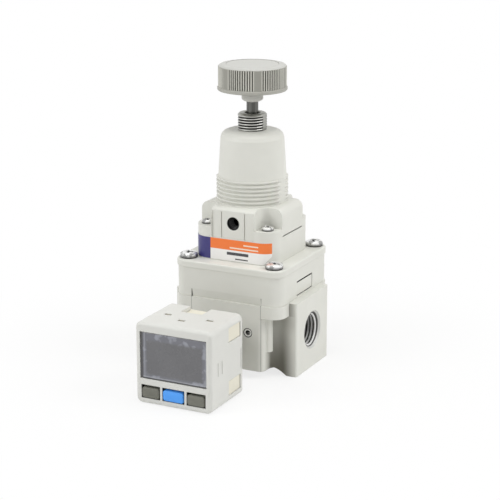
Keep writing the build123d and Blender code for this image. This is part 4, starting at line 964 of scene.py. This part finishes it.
# %% Rubber diaphragms
def soft_web(start, end, steps=8):
    """Points of an S from one corner of the profile to another."""
    shares = [step / steps for step in range(steps + 1)]
    return [(start[0] + (end[0] - start[0]) * share,
             start[1] + (end[1] - start[1]) * share * share * (3 - 2 * share)) for share in shares]


def diaphragm(name, node, hub, hub_span, rim, rim_span):
    """hub and rim are inner and outer radius, and the spans are low and high z, in millimetres."""
    profile = [(hub[0], hub_span[0])] + soft_web((hub[1], hub_span[0]), (rim[0], rim_span[0]))
    profile += [(rim[1], rim_span[0]), (rim[1], rim_span[1])]
    profile += soft_web((rim[0] - 0.2, rim_span[1]), (hub[1], hub_span[1])) + [(hub[0], hub_span[1])]
    dish = turned_ring(name, profile, "black_rubber", around=96)
    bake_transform(dish)
    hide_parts(node)
    return dish


relay_dish = diaphragm("relay_diaphragm_rubber", "relay_diaphragm",
                       hub=(2.2, 10.9), hub_span=(26.1, 26.7),
                       rim=(15.2, 17.98), rim_span=(27.82, 28.58))
measuring_dish = diaphragm("measuring_diaphragm_rubber", "measuring_diaphragm",
                           hub=(2.02, 8.05), hub_span=(43.3, 43.9),
                           rim=(12.3, 13.98), rim_span=(41.47, 42.13))
print("diaphragm vertices:", len(relay_dish.data.vertices), len(measuring_dish.data.vertices))

# %% [markdown]
# ## Floor
# The regulator stands on a pale sheet, which takes the shadow like any matt paper. The camera also
# sees it glow a little, which keeps it from turning grey. The Light Path node tells a look from
# falling light, and the world needs the same answer.

# %% Floor
def looked_at(graph):
    """1 for the camera, for reflections and through clear parts, and 0 for light that falls."""
    ray = graph.node("ShaderNodeLightPath", output=None)
    kinds = ("Is Camera Ray", "Is Glossy Ray", "Is Transmission Ray")
    camera_ray, mirrored, through = (Signal(graph, ray.outputs[kind]) for kind in kinds)
    return camera_ray + mirrored + through > 0.5


def floor_paper():
    paper = Recipe("floor_paper", roughness=0.9)
    grain, far = paper.noise(1.2 * MM, 3.0), paper.from_axis("z").step(0.03, 0.13)
    paper.feed(Base_Color=paper.mixed((242, 242, 241), (246, 246, 245), grain))
    white = paper.node("ShaderNodeEmission", {}, {"Color": (1, 1, 1, 1), "Strength": 1.0})
    matt = Signal(paper, paper.shader.outputs[0])
    share = looked_at(paper) * (0.76 + far * 0.24)
    both = paper.node("ShaderNodeMixShader", {}, {0: share, 1: matt, 2: white})
    paper.tree.links.new(both.socket, paper.tree.nodes["Material Output"].inputs["Surface"])


floor_mesh, sheet = bpy.data.meshes.new("floor"), bmesh.new()
bmesh.ops.create_grid(sheet, x_segments=12, y_segments=12, size=3.0)
bmesh.ops.translate(sheet, verts=sheet.verts, vec=(0, 0, -0.02 * MM))
sheet.to_mesh(floor_mesh)
sheet.free()
floor_paper()
floor_mesh.materials.append(finishes["floor_paper"])
floor = add_object("floor", floor_mesh)
print("floor faces:", len(floor_mesh.polygons))

# %% [markdown]
# ## Light
# A product picture wants large, soft lamps: one high in front on the left as the key, a stronger one
# at the right, and one above. The world fills the rest, and only a look at it finds it pure white.

# %% World
world = bpy.data.worlds.new("studio")
bpy.context.scene.world = world
world.use_nodes = True
world.node_tree.nodes.clear()
sky, fill = Graph(world.node_tree), 0.38
dim = sky.node("ShaderNodeBackground", {}, {"Color": (1, 1, 1, 1), "Strength": fill})
white = sky.node("ShaderNodeBackground", {}, {"Color": (1, 1, 1, 1), "Strength": 1.0})
chosen = sky.node("ShaderNodeMixShader", {}, {0: looked_at(sky), 1: dim, 2: white})
sky.node("ShaderNodeOutputWorld", {}, {"Surface": chosen}, output=None)
print("world: fill light", fill, "and white to the eye")

# %% [markdown]
# Each lamp is placed by its direction from the middle of the object, which is easier to judge than
# coordinates. Its size over its distance sets how soft the shadows are.

# %% Lamps
def direction(azimuth, elevation):
    """Towards a place at this azimuth, counted from the front to the right, and this elevation."""
    a, e = radians(azimuth), radians(elevation)
    return Vector((sin(a) * cos(e), -cos(a) * cos(e), sin(e)))


def look_from(name, data, location, back):
    """Adds a lamp or a camera that looks the other way from back."""
    holder = add_object(name, data)
    holder.location, holder.rotation_mode = location, "QUATERNION"
    holder.rotation_quaternion = (-back).to_track_quat("-Z", "Y")
    return holder


def soft_lamp(name, azimuth, elevation, distance, size, power):
    """A square lamp that looks at the middle of the object."""
    middle, back = Vector((0, -0.015, 0.055)), direction(azimuth, elevation)
    lamp = bpy.data.lights.new(name, "AREA")
    lamp.size, lamp.energy = size, power
    look_from(name, lamp, middle + back * distance, back)


soft_lamp("key_lamp", -38, 28, 0.62, 0.30, 1.32)
soft_lamp("side_lamp", 100, 38, 0.75, 0.40, 2.45)
soft_lamp("top_lamp", 10, 84, 0.62, 0.34, 1.25)
print("lamps:", [lamp.name for lamp in bpy.data.lights])

# %% [markdown]
# ## Camera
# The camera stands to the right of the front and a little above it. Its lens and place come from the
# edges in the photograph. The aim point on the body's axis lands at the given place in a picture 500
# dots wide.

# %% Camera
picture_width, focal_dots, sensor = 500.0, 1649.2, 36.0
azimuth, elevation, distance = 26.47, 15.8, 0.6133
aim, aim_in_picture = Vector((0, 0, 0.060)), (252.37, 203.73)
back = direction(azimuth, elevation)
right = Vector((cos(radians(azimuth)), sin(radians(azimuth)), 0))
metres_per_dot = distance / focal_dots
across = (aim_in_picture[0] - picture_width / 2) * metres_per_dot
down = (aim_in_picture[1] - picture_width / 2) * metres_per_dot
camera_data = bpy.data.cameras.new("camera")
camera_data.sensor_width, camera_data.lens = sensor, focal_dots / picture_width * sensor
camera_data.clip_start, camera_data.clip_end = 0.05, 10.0
position = aim + back * distance - right * across + back.cross(right) * down
bpy.context.scene.camera = look_from("camera", camera_data, position, back)
bpy.context.scene.view_settings.view_transform = "Standard"
print("lens in millimetres:", round(camera_data.lens, 1))
